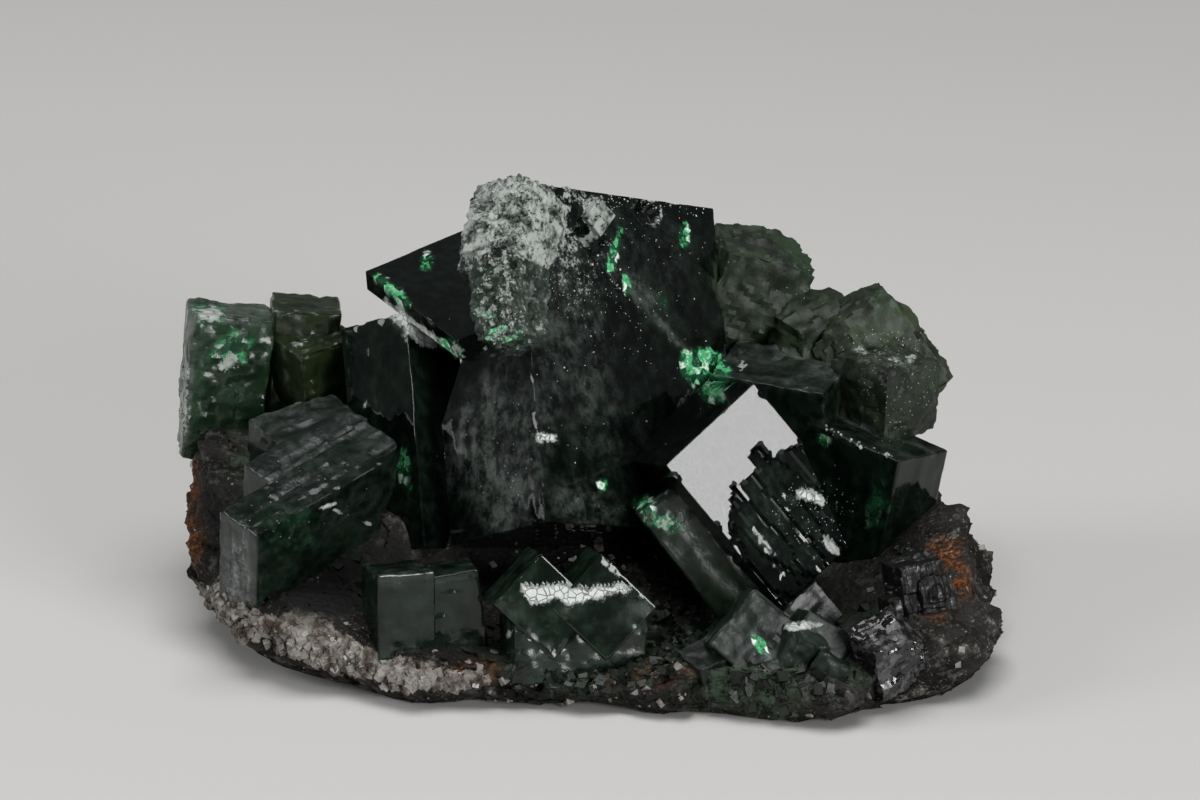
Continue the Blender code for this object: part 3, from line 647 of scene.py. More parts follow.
# How far the rock's surface is moved out: rounded lumps, ledges and grains, angular steps
# and grit, a fine layer, and pits where a smooth noise runs high.
def rockRelief(points, form):
    def bentBlocks(size, bendSize, bend, seed):
        return blockNoise(points + layeredNoise(points, bendSize, 2, seed)[:, None] * bend, size, seed + 1)

    lumps = layeredNoise(points, form["lumps"][0], 2, 31) * form["lumps"][1]
    ledges = (0.42 - grainNoise(points, form["ledges"][0], 32)) * form["ledges"][1]
    steps = bentBlocks(form["steps"][0], 4, 1.0, 36) * form["steps"][1]
    grains = (0.4 - grainNoise(points, form["grains"][0], 33)) * form["grains"][1]
    fine = layeredNoise(points, form["fine"][0], 3, 34) * form["fine"][1]
    pits = -np.clip(layeredNoise(points, form["pits"][0], 2, 35) - 0.5, 0, 1) * form["pits"][1]
    grit = bentBlocks(form["grit"][0], 2, 0.5, 38) * form["grit"][1]
    return lumps + ledges + steps + grains + fine + pits + grit


# The rock's skin: angle round it and share along a path that runs out under it, up its
# side and in over its top, moved out by the relief, which fades at the middle of the top
# and on the resting face.
def rockSkin(form):
    under, side, over = form["rings"]
    share = np.concatenate([np.linspace(0, 1, under, endpoint=False)[1:],
                            1 + np.linspace(0, 1, side, endpoint=False),
                            2 + np.linspace(0, 1, over, endpoint=False)])
    angle = np.linspace(0, 2 * np.pi, form["around"], endpoint=False)
    s, a = (grid.ravel() for grid in np.meshgrid(share, angle, indexing="ij"))
    radius, rim = smoothRing(form["radius"], a), smoothRing(form["rim"], a)
    shoulder, lift = smoothRing(form["shoulder"], a), smoothRing(form["lift"], a)
    below, up, inward = np.clip(s, 0, 1), np.clip(s - 1, 0, 1), np.clip(s - 2, 0, 1)
    bulge = form["belly"] * np.sin(np.pi * np.minimum(1, 0.15 + up * 0.72))
    out = np.where(s < 1, form["foot"] * below, form["foot"] + bulge)
    out = np.where(s > 2, form["brow"] * (1 - inward), out) * radius
    low = lift * np.maximum(0, below - 0.72) / 0.28 * 0.6  # only the underside's border lifts
    halfWay = form["shoulderShare"]
    first = easeBetween(rim, shoulder, np.clip(inward / halfWay, 0, 1))
    second = easeBetween(shoulder, form["middle"], np.clip((inward - halfWay) / (1 - halfWay), 0, 1))
    top = np.where(inward < halfWay, first, second)
    height = np.where(s < 1, low, np.where(s <= 2, low + (rim - low) * up, top))
    points = np.stack([out * np.cos(a), out * np.sin(a), height], -1)
    fade = np.minimum(1, (3 - s) * over / 6) * np.clip((s - 0.7) / 0.25, 0, 1)
    away = np.stack([np.cos(a), np.sin(a), np.full_like(a, form["leanUp"])], -1)
    away /= np.linalg.norm(away, axis=1, keepdims=True)
    moved = points + away * (rockRelief(points, form) * fade)[:, None]
    moved[:, 2] = np.where(moved[:, 2] > form["flatBelow"], moved[:, 2], 0)
    return moved, share, angle


# The rock's mesh: rings of quads, closed by a fan of triangles round a middle point below
# and one above.
def rockMesh(form):
    points, share, angle = rockSkin(form)
    rings, around = len(share), len(angle)
    start = np.arange(rings * around).reshape(rings, around)
    following = np.roll(start, -1, axis=1)
    quads = np.stack([start[:-1], following[:-1], following[1:], start[1:]], -1).reshape(-1, 4)
    below = np.stack([np.full(around, len(points)), following[0], start[0]], -1)
    above = np.stack([np.full(around, len(points) + 1), start[-1], following[-1]], -1)
    points = np.vstack([points, [(0, 0, 0), (0, 0, form["middle"])]]) + (*form["centre"], 0) + shift
    points[:, 2] = np.maximum(points[:, 2], 0)
    return solidMesh("rockBase", points, quads.tolist() + below.tolist() + above.tolist())


rockPiece = newObject("rockBase", rockMesh(rockForm))
smoothUpTo(rockPiece, 38)
print("stage: rock", len(rockPiece.data.polygons), "faces")


# A heap of small cubes in one mesh: eight corners each, turned and sized one by one.
def cubeHeap(name, places, sizes, turns):
    corners = (cornerSigns / 2)[None] * sizes[:, None, :]
    points = np.einsum("nij,ncj->nci", turns, corners) + places[:, None, :]
    faces = np.array([(0, 1, 3, 2), (4, 6, 7, 5), (0, 4, 5, 1), (2, 3, 7, 6), (0, 2, 6, 4), (1, 5, 7, 3)])
    faces = faces[None] + 8 * np.arange(len(places))[:, None, None]
    return newObject(name, solidMesh(name, points.reshape(-1, 3), faces.reshape(-1, 4)))


# A turn for each cube, from three angles: Z after Y after X.
def manyTurns(angles):
    x, y, z = np.radians(angles).T
    cx, cy, cz = np.cos(x), np.cos(y), np.cos(z)
    sx, sy, sz = np.sin(x), np.sin(y), np.sin(z)
    rows = ((cz * cy, cz * sy * sx - sz * cx, cz * sy * cx + sz * sx),
            (sz * cy, sz * sy * sx + cz * cx, sz * sy * cx - cz * sx),
            (-sy, cy * sx, cy * cx))
    return np.stack([np.stack(row, -1) for row in rows], 1)


# 1 where a surface faces the camera's side, falling to 0 just past its outline.
def facingFront(normals):
    return np.clip((normals @ viewBack) * 6 + 0.4, 0, 1)


# Soft marks on whatever faces the front. Each is an oval on the sheet with a frayed border:
# place, reaches, turn in degrees and strength.
def frontMarks(points, normals, spots, fray=1.5, seed=70):
    u, v = sheetPlace(points)
    ragged = layeredNoise(points, fray, 3, seed) * 0.3
    total = np.zeros(len(points))
    for x, y, rx, ry, angle, strength in spots.values():
        c, s = math.cos(math.radians(angle)), math.sin(math.radians(angle))
        a, b = ((u - x) * c + (v - y) * s) / rx, ((v - y) * c - (u - x) * s) / ry
        total = np.maximum(total, strength * np.clip((1 - np.hypot(a, b) + ragged) * 2.5, 0, 1))
    return total * facingFront(normals)


# Marks with an outline on the sheet: corners, strength, and in the sheet's units how soft
# the border is and how far it wanders.
def frontOutlines(points, normals, shapes, seed=75):
    u, v = sheetPlace(points)
    ragged = layeredNoise(points, 1.1, 3, seed)
    total = np.zeros(len(points))
    for shape in shapes.values():
        inside = insideBy(u, v, shape["outline"]) + ragged * shape["wander"]
        total = np.maximum(total, shape["strength"] * np.clip(inside / shape["soft"], 0, 1))
    return total * facingFront(normals)


# Values of the crystal a point belongs to: the one whose skin lies nearest.
def nearestValues(points, group, names):
    best = np.full(len(points), 1e9)
    out = {name: np.zeros(len(points)) for name in names}
    for spec in group.values():
        size = np.array(spec["size"])
        local = toLocal(points, spec)
        if "melt" in spec:
            unit = local / size
            direction = unit / np.maximum(np.linalg.norm(unit, axis=1, keepdims=True), tiny)
            skin = 1 / np.maximum(np.abs(direction).max(axis=1) * 2, tiny)
            skin = skin + (dissolved["ball"] - skin) * spec["melt"]
            gap = np.abs(np.linalg.norm(unit, axis=1) - skin) * np.mean(spec["size"]) * 0.8 - 0.3
        else:
            beyond = np.abs(local) - size / 2
            gap = np.abs(beyond.max(axis=1)) + np.linalg.norm(np.maximum(beyond, 0), axis=1) * 0.5
        closer = gap < best
        best = np.where(closer, gap, best)
        for name in names:
            out[name][closer] = spec.get(name, 0)
    return out


# Silvery frost in streaks, partly a painted glimmer of light, that run one way over a face
# of a crystal: a fine noise drawn out along them and a broad one, on points near enough to the face.
def silverAndGlimmerStreaks(points, group):
    out = np.zeros(len(points))
    for n, spec in enumerate(group.values()):
        half = np.array(spec["size"]) / 2
        local = toLocal(points, spec)
        for (axis, sign), along, strength in spec.get("silverAndGlimmer", ()):
            b, c = inFace(axis)
            onFace = np.abs(local[:, axis] * sign - half[axis]) < 0.7
            onFace &= (np.abs(local[:, b]) < half[b] + 0.3) & (np.abs(local[:, c]) < half[c] + 0.3)
            stretch = np.ones(3)
            stretch[along] = 0.13
            streak = layeredNoise(local * stretch, 0.9, 3, 40 + n) + layeredNoise(local, 4.0, 2, 60 + n) * 0.5
            out = np.maximum(out, onFace * strength * np.clip(0.7 + streak * 1.3, 0, 1.8))
    return out


# A node tree of one Principled shader, with helpers that add and join nodes.
class Finish:
    def __init__(self, name):
        self.material = bpy.data.materials.new(name)
        self.material.use_nodes = True
        self.tree = self.material.node_tree
        self.shader = self.tree.nodes["Principled BSDF"]
        self.output = self.tree.nodes["Material Output"]
        self.place = self.tree.nodes.new("ShaderNodeTexCoord").outputs["Object"]

    def link(self, source, target):
        self.tree.links.new(source, target)

    # Fixed values on the shader's own sockets.
    def set(self, **values):
        for name, value in values.items():
            self.shader.inputs[name.replace("_", " ")].default_value = value

    # What varies over the surface, joined to the shader's sockets.
    def feed(self, **sources):
        for name, source in sources.items():
            self.link(source, self.shader.inputs[name.replace("_", " ")])

    def stretched(self, turn, scale):
        node = self.tree.nodes.new("ShaderNodeMapping")
        node.inputs["Rotation"].default_value = [math.radians(angle) for angle in turn]
        node.inputs["Scale"].default_value = scale
        self.link(self.place, node.inputs["Vector"])
        return node.outputs["Vector"]

    def noise(self, size, detail=3.0, roughness=0.55, place=None):
        node = self.tree.nodes.new("ShaderNodeTexNoise")
        node.inputs["Scale"].default_value = 1.0 / (size * mm)
        node.inputs["Detail"].default_value = detail
        node.inputs["Roughness"].default_value = roughness
        self.link(place or self.place, node.inputs["Vector"])
        return node.outputs["Fac"]

    def cells(self, size, feature="F1"):
        node = self.tree.nodes.new("ShaderNodeTexVoronoi")
        node.feature = feature
        node.inputs["Scale"].default_value = 1.0 / (size * mm)
        self.link(self.place, node.inputs["Vector"])
        return node.outputs

    # A value written on the mesh.
    def value(self, name):
        node = self.tree.nodes.new("ShaderNodeAttribute")
        node.attribute_name = name
        return node.outputs["Fac"]

    def maths(self, operation, *values, clamp=False):
        node = self.tree.nodes.new("ShaderNodeMath")
        node.operation = operation
        node.use_clamp = clamp
        for socket, value in zip(node.inputs, values):
            if isinstance(value, (int, float)):
                socket.default_value = value
            else:
                self.link(value, socket)
        return node.outputs[0]

    def times(self, a, b, clamp=False):
        return self.maths("MULTIPLY", a, b, clamp=clamp)

    def plus(self, a, b):
        return self.maths("ADD", a, b)

    def higher(self, a, b, clamp=False):
        return self.maths("MAXIMUM", a, b, clamp=clamp)

    def rest(self, share):
        return self.maths("SUBTRACT", 1.0, share)

    # A base that a noise moves up and down by half of amount.
    def swayed(self, base, noise, amount):
        return self.maths("MULTIPLY_ADD", self.maths("SUBTRACT", noise, 0.5), amount, base)

    def ramp(self, source, low, high, lowValue=0.0, highValue=1.0):
        node = self.tree.nodes.new("ShaderNodeMapRange")
        node.interpolation_type = "SMOOTHSTEP"
        node.inputs["From Min"].default_value = low
        node.inputs["From Max"].default_value = high
        node.inputs["To Min"].default_value = lowValue
        node.inputs["To Max"].default_value = highValue
        self.link(source, node.inputs["Value"])
        return node.outputs[0]

    # From a to b as share goes from 0 to 1. Each is a colour or another node's colour.
    def mix(self, share, a, b):
        node = self.tree.nodes.new("ShaderNodeMix")
        node.data_type = "RGBA"
        self.link(share, node.inputs[0])
        for socket, value in ((node.inputs[6], a), (node.inputs[7], b)):
            if isinstance(value, tuple):
                socket.default_value = (*value, 1)
            else:
                self.link(value, socket)
        return node.outputs[2]

    def relief(self, height, strength, distance):
        node = self.tree.nodes.new("ShaderNodeBump")
        node.inputs["Strength"].default_value = strength
        node.inputs["Distance"].default_value = distance * mm
        self.link(height, node.inputs["Height"])
        self.feed(Normal=node.outputs["Normal"])

    def absorb(self, colour, density):
        node = self.tree.nodes.new("ShaderNodeVolumeAbsorption")
        node.inputs["Color"].default_value = (*colour, 1)
        node.inputs["Density"].default_value = density
        self.link(node.outputs[0], self.output.inputs["Volume"])


# Green fluorite: see-through where clean, cloudy where milk is high, white where it is
# dissolved or crushed (frost) and where highlights are painted, silvery where streaked and
# where a glimmer of light is painted, pale as smoke where veiled and where a grey sheen is
# painted, painted bright green where light breaks out of it (glint) and dotted with painted
# white sparkles. Sizes of its patterns are in mm.
fluoriteLook = dict(
    grey=(0.007, 0.009, 0.008), green=(0.012, 0.034, 0.018), olive=(0.032, 0.048, 0.014),
    cloudy=(0.024, 0.041, 0.027), veilAndSheen=(0.10, 0.112, 0.103), silverAndGlimmer=(0.17, 0.185, 0.18),
    frostAndHighlight=(0.42, 0.45, 0.42), bright=(0.72, 0.75, 0.72), shade=(0.08, 0.105, 0.085),
    paintedSparkle=(0.78, 0.86, 0.79), paintedGlintHalo=(0.012, 0.10, 0.042), paintedGlint=(0.08, 0.44, 0.18),
    grainSize=0.42, mottleSize=1.4, cloudSize=5.5, streakSize=0.5, crackSize=0.9, paintedSparkleSize=0.3,
    shardSize=1.0, streakTurn=(25, -30, 40), streakDraw=(1, 1, 0.12),
    ior=1.434, inside=(0.12, 0.58, 0.32), density=800.0, gloss=0.03, dull=0.55, bump=(0.6, 0.16),
)


def fluoriteFinish(name, look):
    f = Finish(name)
    grain = f.noise(look["grainSize"], 2.0, 0.7)
    mottle = f.noise(look["mottleSize"], 3.0, 0.62)
    cloud = f.noise(look["cloudSize"], 3.0, 0.6)
    streaks = f.noise(look["streakSize"], 3.0, 0.6, f.stretched(look["streakTurn"], look["streakDraw"]))
    frostAndHighlightHere, milkHere = f.value("frostAndHighlight"), f.value("milk")
    paintedGlintHere, etchHere = f.value("paintedGlint"), f.value("etch")

    # White: the frost value (frost and painted highlights) with a ragged border, and a net of cracks where it
    # is highest.
    frostAndHighlight = f.swayed(f.swayed(frostAndHighlightHere, grain, 1.5), mottle, 1.0)
    white = f.times(f.ramp(frostAndHighlight, 0.34, 0.74), f.ramp(frostAndHighlightHere, 0.0, 0.06))
    cracks = f.ramp(f.cells(look["crackSize"], "DISTANCE_TO_EDGE")["Distance"], 0.03, 0.08, 1.0, 0.0)
    cracks = f.times(cracks, f.ramp(frostAndHighlightHere, 0.85, 1.0))
    white = f.times(white, f.rest(f.times(cracks, 0.55)))

    # Milk: the crystal's own cloudiness, in large soft patches.
    milk = f.times(milkHere, f.ramp(f.plus(cloud, f.times(mottle, 0.6)), 0.55, 1.05, 0.35, 1.5), clamp=True)

    # Painted sparkles: white flecks in the middles of the few small cells whose chance is below the sparkle
    # value.
    paintedSparkleCells = f.cells(look["paintedSparkleSize"])
    lively = f.maths("LESS_THAN", paintedSparkleCells["Color"], f.times(f.value("paintedSparkleDensity"), 0.5))
    paintedSparkle = f.times(f.ramp(paintedSparkleCells["Distance"], 0.10, 0.22, 1.0, 0.0), lively)

    # Painted glints: angular shards, some green and some white, in a painted green halo, light breaking out
    # of the crystal painted in its colour.
    shard = f.swayed(f.cells(look["shardSize"])["Color"], grain, 0.8)
    paintedGlintHalo = f.times(f.ramp(paintedGlintHere, 0.05, 0.9), f.ramp(mottle, 0.3, 0.6, 0.35, 1.0))
    paintedGlintShards = f.times(f.ramp(paintedGlintHere, 0.25, 0.8), f.ramp(shard, 0.46, 0.62))

    # Veil and silver: smoky and silvery places, broken up by the noises, with a painted grey sheen and a
    # painted glimmer of light among them.
    veilAndSheenNoise = f.maths("MULTIPLY_ADD", grain, 0.7, f.maths("MULTIPLY_ADD", streaks, 0.35, mottle))
    veilAndSheen = f.times(f.value("veilAndSheen"), f.ramp(veilAndSheenNoise, 0.80, 1.28, 0.1, 1.0))
    silverAndGlimmer = f.times(f.value("silverAndGlimmer"), f.ramp(f.plus(grain, mottle), 0.75, 1.2, 0.25, 1.0))

    # Colour: the deep of the crystal first, then what lies over it, painted sheen, glimmer, glints,
    # highlights and sparkles among it.
    deep = f.mix(f.value("tone"), look["grey"], look["green"])
    deep = f.mix(f.value("olive"), deep, look["olive"])
    deep = f.mix(f.ramp(mottle, 0.40, 0.75, 0.0, 0.6), deep, look["cloudy"])
    deep = f.mix(f.ramp(streaks, 0.56, 0.75, 0.0, 0.15), deep, look["veilAndSheen"])
    deep = f.mix(veilAndSheen, deep, look["veilAndSheen"])
    deep = f.mix(silverAndGlimmer, deep, look["silverAndGlimmer"])
    deep = f.mix(f.times(paintedGlintHalo, 0.8), deep, look["paintedGlintHalo"])
    colour = f.mix(paintedGlintShards, deep, f.mix(f.ramp(shard, 0.70, 0.88), look["paintedGlint"], look["paintedSparkle"]))
    pale = f.mix(f.ramp(mottle, 0.30, 0.58), look["shade"], look["frostAndHighlight"])
    # Painted highlights: where the frost value is highest, the brightest white.
    pale = f.mix(f.ramp(frostAndHighlightHere, 0.85, 1.0), pale, look["bright"])
    colour = f.mix(white, colour, pale)
    colour = f.mix(paintedSparkle, colour, look["paintedSparkle"])

    # How solid it looks: the strongest of all these. The rest of it is see-through.
    solid = f.higher(f.times(white, 0.94), f.higher(milk, f.higher(f.times(veilAndSheen, 0.8), silverAndGlimmer)))
    solid = f.higher(solid, f.times(paintedGlintHalo, 0.9))
    solid = f.higher(solid, f.higher(paintedSparkle, paintedGlintShards), clamp=True)

    # Roughness: glossy where clean, duller where white, milky and smudged, or etched.
    smudge = f.ramp(cloud, 0.45, 0.75, 0.0, 0.10)
    rough = f.higher(f.ramp(white, 0.0, 1.0, look["gloss"], look["dull"]),
                     f.times(f.plus(smudge, 0.05), f.times(milkHere, 2.2)))
    rough = f.higher(rough, f.times(etchHere, 0.6))
    f.feed(Base_Color=colour, Transmission_Weight=f.rest(solid), Roughness=rough)
    f.set(IOR=look["ior"])

    # Relief: a fine grain where it is frosted or etched, and a little where it is milky.
    raised = f.higher(f.higher(f.times(milkHere, 0.08), frostAndHighlightHere), f.times(etchHere, 0.7))
    f.relief(f.times(f.times(f.noise(look["grainSize"], 3.0, 0.7), 1.2), raised), *look["bump"])
    f.absorb(look["inside"], look["density"])
    return f.material


# The rock: dark and brown-grey with pale grains and dark holes, and on it moss-green dust,
# rust, a pale crust and shadowed hollows where those values are high.
rockLook = dict(
    dark=(0.008, 0.0075, 0.0065), brown=(0.028, 0.025, 0.023), grey=(0.066, 0.062, 0.058),
    grain=(0.17, 0.163, 0.152), hole=(0.010, 0.009, 0.008), moss=(0.045, 0.075, 0.045),
    rust=((0.04, 0.013, 0.005), (0.20, 0.075, 0.026)), crust=((0.075, 0.058, 0.046), (0.25, 0.23, 0.20)),
    shadow=(0.010, 0.011, 0.010), roughness=(0.42, 0.85), shine=0.1, bump=(0.9, 0.3),
)


def rockFinish(look):
    f = Finish("rock")
    broad, mid, fine = f.noise(9.0, 3.0), f.noise(2.0, 4.0, 0.65), f.noise(0.45, 3.0, 0.7)
    colour = f.mix(f.ramp(broad, 0.38, 0.62), look["dark"], look["brown"])
    colour = f.mix(f.ramp(mid, 0.52, 0.64), colour, look["grey"])
    colour = f.mix(f.ramp(fine, 0.58, 0.72, 0.0, 0.8), colour, look["grain"])
    colour = f.mix(f.ramp(fine, 0.30, 0.42, 0.8, 0.0), colour, look["hole"])
    colour = f.mix(f.times(f.value("moss"), f.ramp(mid, 0.35, 0.6)), colour, look["moss"])
    rust = f.times(f.value("rust"), f.ramp(f.plus(mid, f.times(fine, 0.4)), 0.52, 0.78))
    colour = f.mix(rust, colour, f.mix(f.ramp(fine, 0.4, 0.65), *look["rust"]))
    crustHere = f.value("crust")
    crust = f.swayed(f.swayed(crustHere, fine, 1.6), mid, 1.8)
    crust = f.times(f.ramp(crust, 0.40, 0.75), f.ramp(crustHere, 0.0, 0.1))
    colour = f.mix(crust, colour, f.mix(f.ramp(mid, 0.4, 0.6), *look["crust"]))
    # Painted shade: the dark value takes the rock to the shadow colour.
    colour = f.mix(f.value("dark"), colour, look["shadow"])
    f.feed(Base_Color=colour, Roughness=f.ramp(fine, 0.3, 0.7, *look["roughness"]))
    f.set(Specular_IOR_Level=look["shine"])
    f.relief(f.plus(fine, f.cells(0.8)["Distance"]), *look["bump"])
    return f.material


# Galena: lead-grey metal with darker tarnish.
galenaLook = dict(metal=(0.035, 0.035, 0.037), tarnish=(0.012, 0.011, 0.010), metallic=0.8,
                  roughness=(0.25, 0.6), bump=(0.4, 0.08))


def galenaFinish(look):
    f = Finish("galena")
    mid = f.noise(1.2, 4.0)
    colour = f.mix(f.ramp(mid, 0.42, 0.62), look["metal"], look["tarnish"])
    f.feed(Base_Color=colour, Roughness=f.ramp(mid, 0.35, 0.7, *look["roughness"]))
    f.set(Metallic=look["metallic"])
    f.relief(f.noise(0.3, 4.0), *look["bump"])
    return f.material


# Calcite: grey glass, clear and glossy in places and cloudy and dull in others.
calciteLook = dict(clear=(0.06, 0.06, 0.063), cloudy=(0.10, 0.097, 0.094), roughness=(0.06, 0.4),
                   seeThrough=(0.9, 0.25), ior=1.55, inside=(0.45, 0.43, 0.42), density=700.0,
                   bump=(0.35, 0.12))


def calciteFinish(look):
    f = Finish("calcite")
    mid, fine = f.noise(1.6, 4.0), f.noise(0.5, 4.0, 0.7)
    share = f.ramp(f.plus(mid, f.times(fine, 0.5)), 0.68, 0.92)
    f.feed(Base_Color=f.mix(share, look["clear"], look["cloudy"]),
           Roughness=f.ramp(share, 0, 1, *look["roughness"]),
           Transmission_Weight=f.ramp(share, 0, 1, *look["seeThrough"]))
    f.set(IOR=look["ior"])
    f.relief(f.noise(0.6, 4.0), *look["bump"])
    f.absorb(look["inside"], look["density"])
    return f.material


# The pale grains on the rim: brownish in some, off-white in others.
grainLook = dict(brown=(0.06, 0.042, 0.032), pale=(0.26, 0.245, 0.22), roughness=(0.2, 0.5))


def grainFinish(look):
    f = Finish("paleGrain")
    mid = f.noise(1.6, 4.0)
    f.feed(Base_Color=f.mix(f.ramp(mid, 0.35, 0.6), look["brown"], look["pale"]),
           Roughness=f.ramp(mid, 0.3, 0.7, *look["roughness"]))
    return f.material


print("stage: marks")
# Marks on the crystals, as ovals on the sheet: x and y, reach along and across, turn in
# degrees and strength.
# Frost and painted highlights: the crest marks are its frost; the flashes, the dashes on the left cube, the
# wedge tip, the pit's side and rim, the marks below the crest and on the back left cube's top and middle are
# painted highlights where light catches faces, edges and rims.
frostAndHighlightSpots = {
    "crestTop": (520, 206, 34, 22, 0, 0.8), "crestLeft": (500, 240, 20, 26, 30, 0.6),
    "crestEdge": (578, 198, 30, 8, 12, 0.6), "crestFoot": (556, 238, 28, 42, -20, 0.5),
    "crestHaze": (575, 280, 36, 60, -28, 0.27), "wedgeTip": (458, 352, 14, 8, 40, 0.6),
    "faceFlash": (545, 437, 12, 8, 0, 1.2), "mirrorCorner": (742, 366, 6, 8, 0, 0.8),
    "footFlash": (800, 626, 24, 6, -5, 0.95), "rightRidge": (890, 358, 30, 4, 24, 0.5),
    "leftDashA": (328, 506, 12, 3, -18, 1.0), "leftDashB": (338, 512, 7, 3, 30, 0.9),
    "leftDashC": (366, 523, 7, 2.5, 20, 0.7), "blockDot": (366, 405, 4, 5, 0, 0.8),
    "lowHaze": (596, 500, 30, 22, 0, 0.12), "backLeftTop": (208, 315, 20, 10, 0, 0.9),
    "backLeftMiddle": (228, 362, 14, 8, -40, 0.7), "backLeftEdge": (185, 400, 8, 60, 0, 0.55),
    "oliveEdge": (300, 342, 12, 6, -35, 0.6), "pitSide": (661, 213, 3, 9, 0, 0.6),
    "pitRim": (648, 202, 13, 3, 5, 0.5), "belowCrestA": (486, 311, 12, 7, 0, 0.5),
    "belowCrestB": (505, 334, 22, 6, -8, 0.45), "etchedDashA": (860, 350, 12, 4, 10, 0.8),
    "etchedDashB": (910, 360, 8, 6, -50, 0.8),
}
# The crest's outline is frost; the twin's band and corner are crushed white and painted reflection; the pit's
# hook is a painted rim highlight and the wedge's strip painted light seen through the crystal.
frostAndHighlightShapes = {
    "crest": dict(strength=0.62, soft=14, wander=5, outline=(
        (508, 176), (465, 225), (470, 250), (545, 250), (574, 214), (602, 205), (560, 190), (526, 179))),
    "twinBand": dict(strength=1.5, soft=5, wander=3, outline=(
        (521, 584), (568, 583), (571, 589), (590, 588), (600, 585), (622, 583), (627, 592), (600, 600),
        (568, 608), (556, 600), (545, 607), (530, 608), (521, 598))),
    "pitHook": dict(strength=0.8, soft=3, wander=1, outline=(
        (640, 223), (650, 227), (661, 223), (666, 213), (661, 203), (657, 204), (661, 213), (656, 219),
        (648, 222))),
    "twinCorner": dict(strength=1.3, soft=5, wander=2, outline=(
        (502, 636), (511, 628), (522, 630), (508, 640))),
    "wedgeStrip": dict(strength=1.6, soft=6, wander=2, outline=(
        (380, 292), (388, 296), (441, 338), (439, 352), (424, 350), (402, 334), (384, 314))),
}
# Smoky veils, and on the big face a painted grey sheen: a broad reflection, lighter at its left.
veilAndSheenSpots = {
    "bigFace": (565, 330, 56, 130, -22, 0.6), "lowerLeftFace": (498, 450, 60, 104, 0, 0.7),
    "lowFace": (580, 500, 44, 34, 0, 0.5), "middleFace": (600, 420, 50, 60, -20, 0.3),
    "rayA": (618, 268, 76, 4, 42, 0.8), "rayB": (645, 305, 90, 4, 48, 0.6),
    "rayC": (600, 262, 60, 3, 52, 0.7), "upperFace": (640, 260, 60, 60, 0, 0.3),
    "leftCubeEnd": (380, 500, 40, 60, 0, 0.10), "leftCubeTop": (320, 490, 80, 40, -30, 0.25),
    "leftCubeSide": (232, 560, 24, 70, 0, 0.5), "etchedRight": (880, 340, 60, 60, 0, 0.3),
    "etchedTall": (760, 290, 50, 60, 0, 0.15),
}
milkSpots = {
    "bigFace": (560, 300, 50, 90, -25, 0.6), "middleFace": (575, 410, 60, 90, -20, 0.5),
    "ray": (655, 310, 100, 16, 52, 0.75), "lowerLeftFace": (498, 450, 56, 96, 0, 0.8),
    "lowFace": (575, 503, 34, 26, 0, 0.6), "brokenHalf": (790, 520, 60, 70, 0, 0.7),
}
# Painted glints: bright green light breaking out of the crystals, painted into their colour.
paintedGlintSpots = {
    "wedgeTop": (427, 262, 10, 16, 0, 0.9), "wedgeTip": (450, 348, 18, 10, 35, 1.2),
    "wedgeEdge": (392, 290, 34, 9, 44, 0.8), "belowCrestA": (486, 311, 14, 9, 0, 1.2),
    "belowCrestB": (505, 334, 24, 9, -8, 1.2), "faceTopA": (614, 252, 7, 26, 15, 1.0),
    "faceTopB": (626, 282, 6, 16, 0, 0.8), "faceTopRight": (685, 234, 8, 15, 10, 1.2),
    "lowFace": (602, 485, 6, 8, 0, 1.0), "aboveMirror": (705, 368, 32, 22, 25, 1.4),
    "besideMirror": (645, 505, 16, 12, 0, 0.8), "backLeftMiddle": (232, 348, 26, 24, -30, 0.62),
    "backLeftTop": (208, 315, 24, 14, 0, 0.6), "rightCube": (876, 508, 18, 36, 10, 0.42),
    "rightCubeTop": (824, 440, 12, 8, 0, 0.6), "leftBlock": (404, 470, 10, 30, 0, 0.6),
    "greenBar": (664, 520, 34, 14, 20, 0.6), "sugary": (760, 645, 20, 6, 55, 1.0),
    "leftCube": (290, 530, 40, 40, -30, 0.36), "etchedRight": (885, 300, 24, 20, 0, 0.35),
    "etchedTall": (800, 250, 30, 40, 0, 0.25), "besideCrest": (620, 230, 6, 8, 0, 0.7),
    "ray": (662, 300, 14, 6, 50, 0.4),
}
# Where the painted white sparkles lie thickest.
paintedSparkleSpots = {
    "upperFace": (640, 230, 110, 60, 10, 0.45), "crestFoot": (570, 270, 60, 60, 30, 0.8),
    "rays": (640, 320, 110, 50, 50, 0.4), "lowerLeftFace": (500, 450, 60, 100, 0, 0.35),
    "middleFace": (600, 400, 120, 140, 0, 0.15), "etchedRight": (890, 380, 60, 60, 0, 0.9),
    "wedge": (430, 260, 70, 40, 0, 0.2), "leftCube": (310, 500, 90, 60, 0, 0.3),
    "etchedTall": (800, 270, 60, 60, 0, 0.3), "brokenHalf": (812, 510, 40, 50, 40, 1.0),
}
# Painted highlights on the mirror cube's broken half: bright streaks where its facets catch the light.
brokenHalfHighlights = {
    "brokenTop": (812, 496, 22, 9, 25, 1.0), "brokenSide": (832, 545, 18, 3, 52, 0.9),
    "brokenWhole": (800, 520, 40, 50, 50, 0.1),
}
etchSpots = {
    "brokenHalf": (800, 530, 60, 80, 0, 0.16), "crest": (520, 240, 70, 70, 0, 0.5),
    "wedgeStrip": (411, 325, 46, 16, 44, 0.5),
}

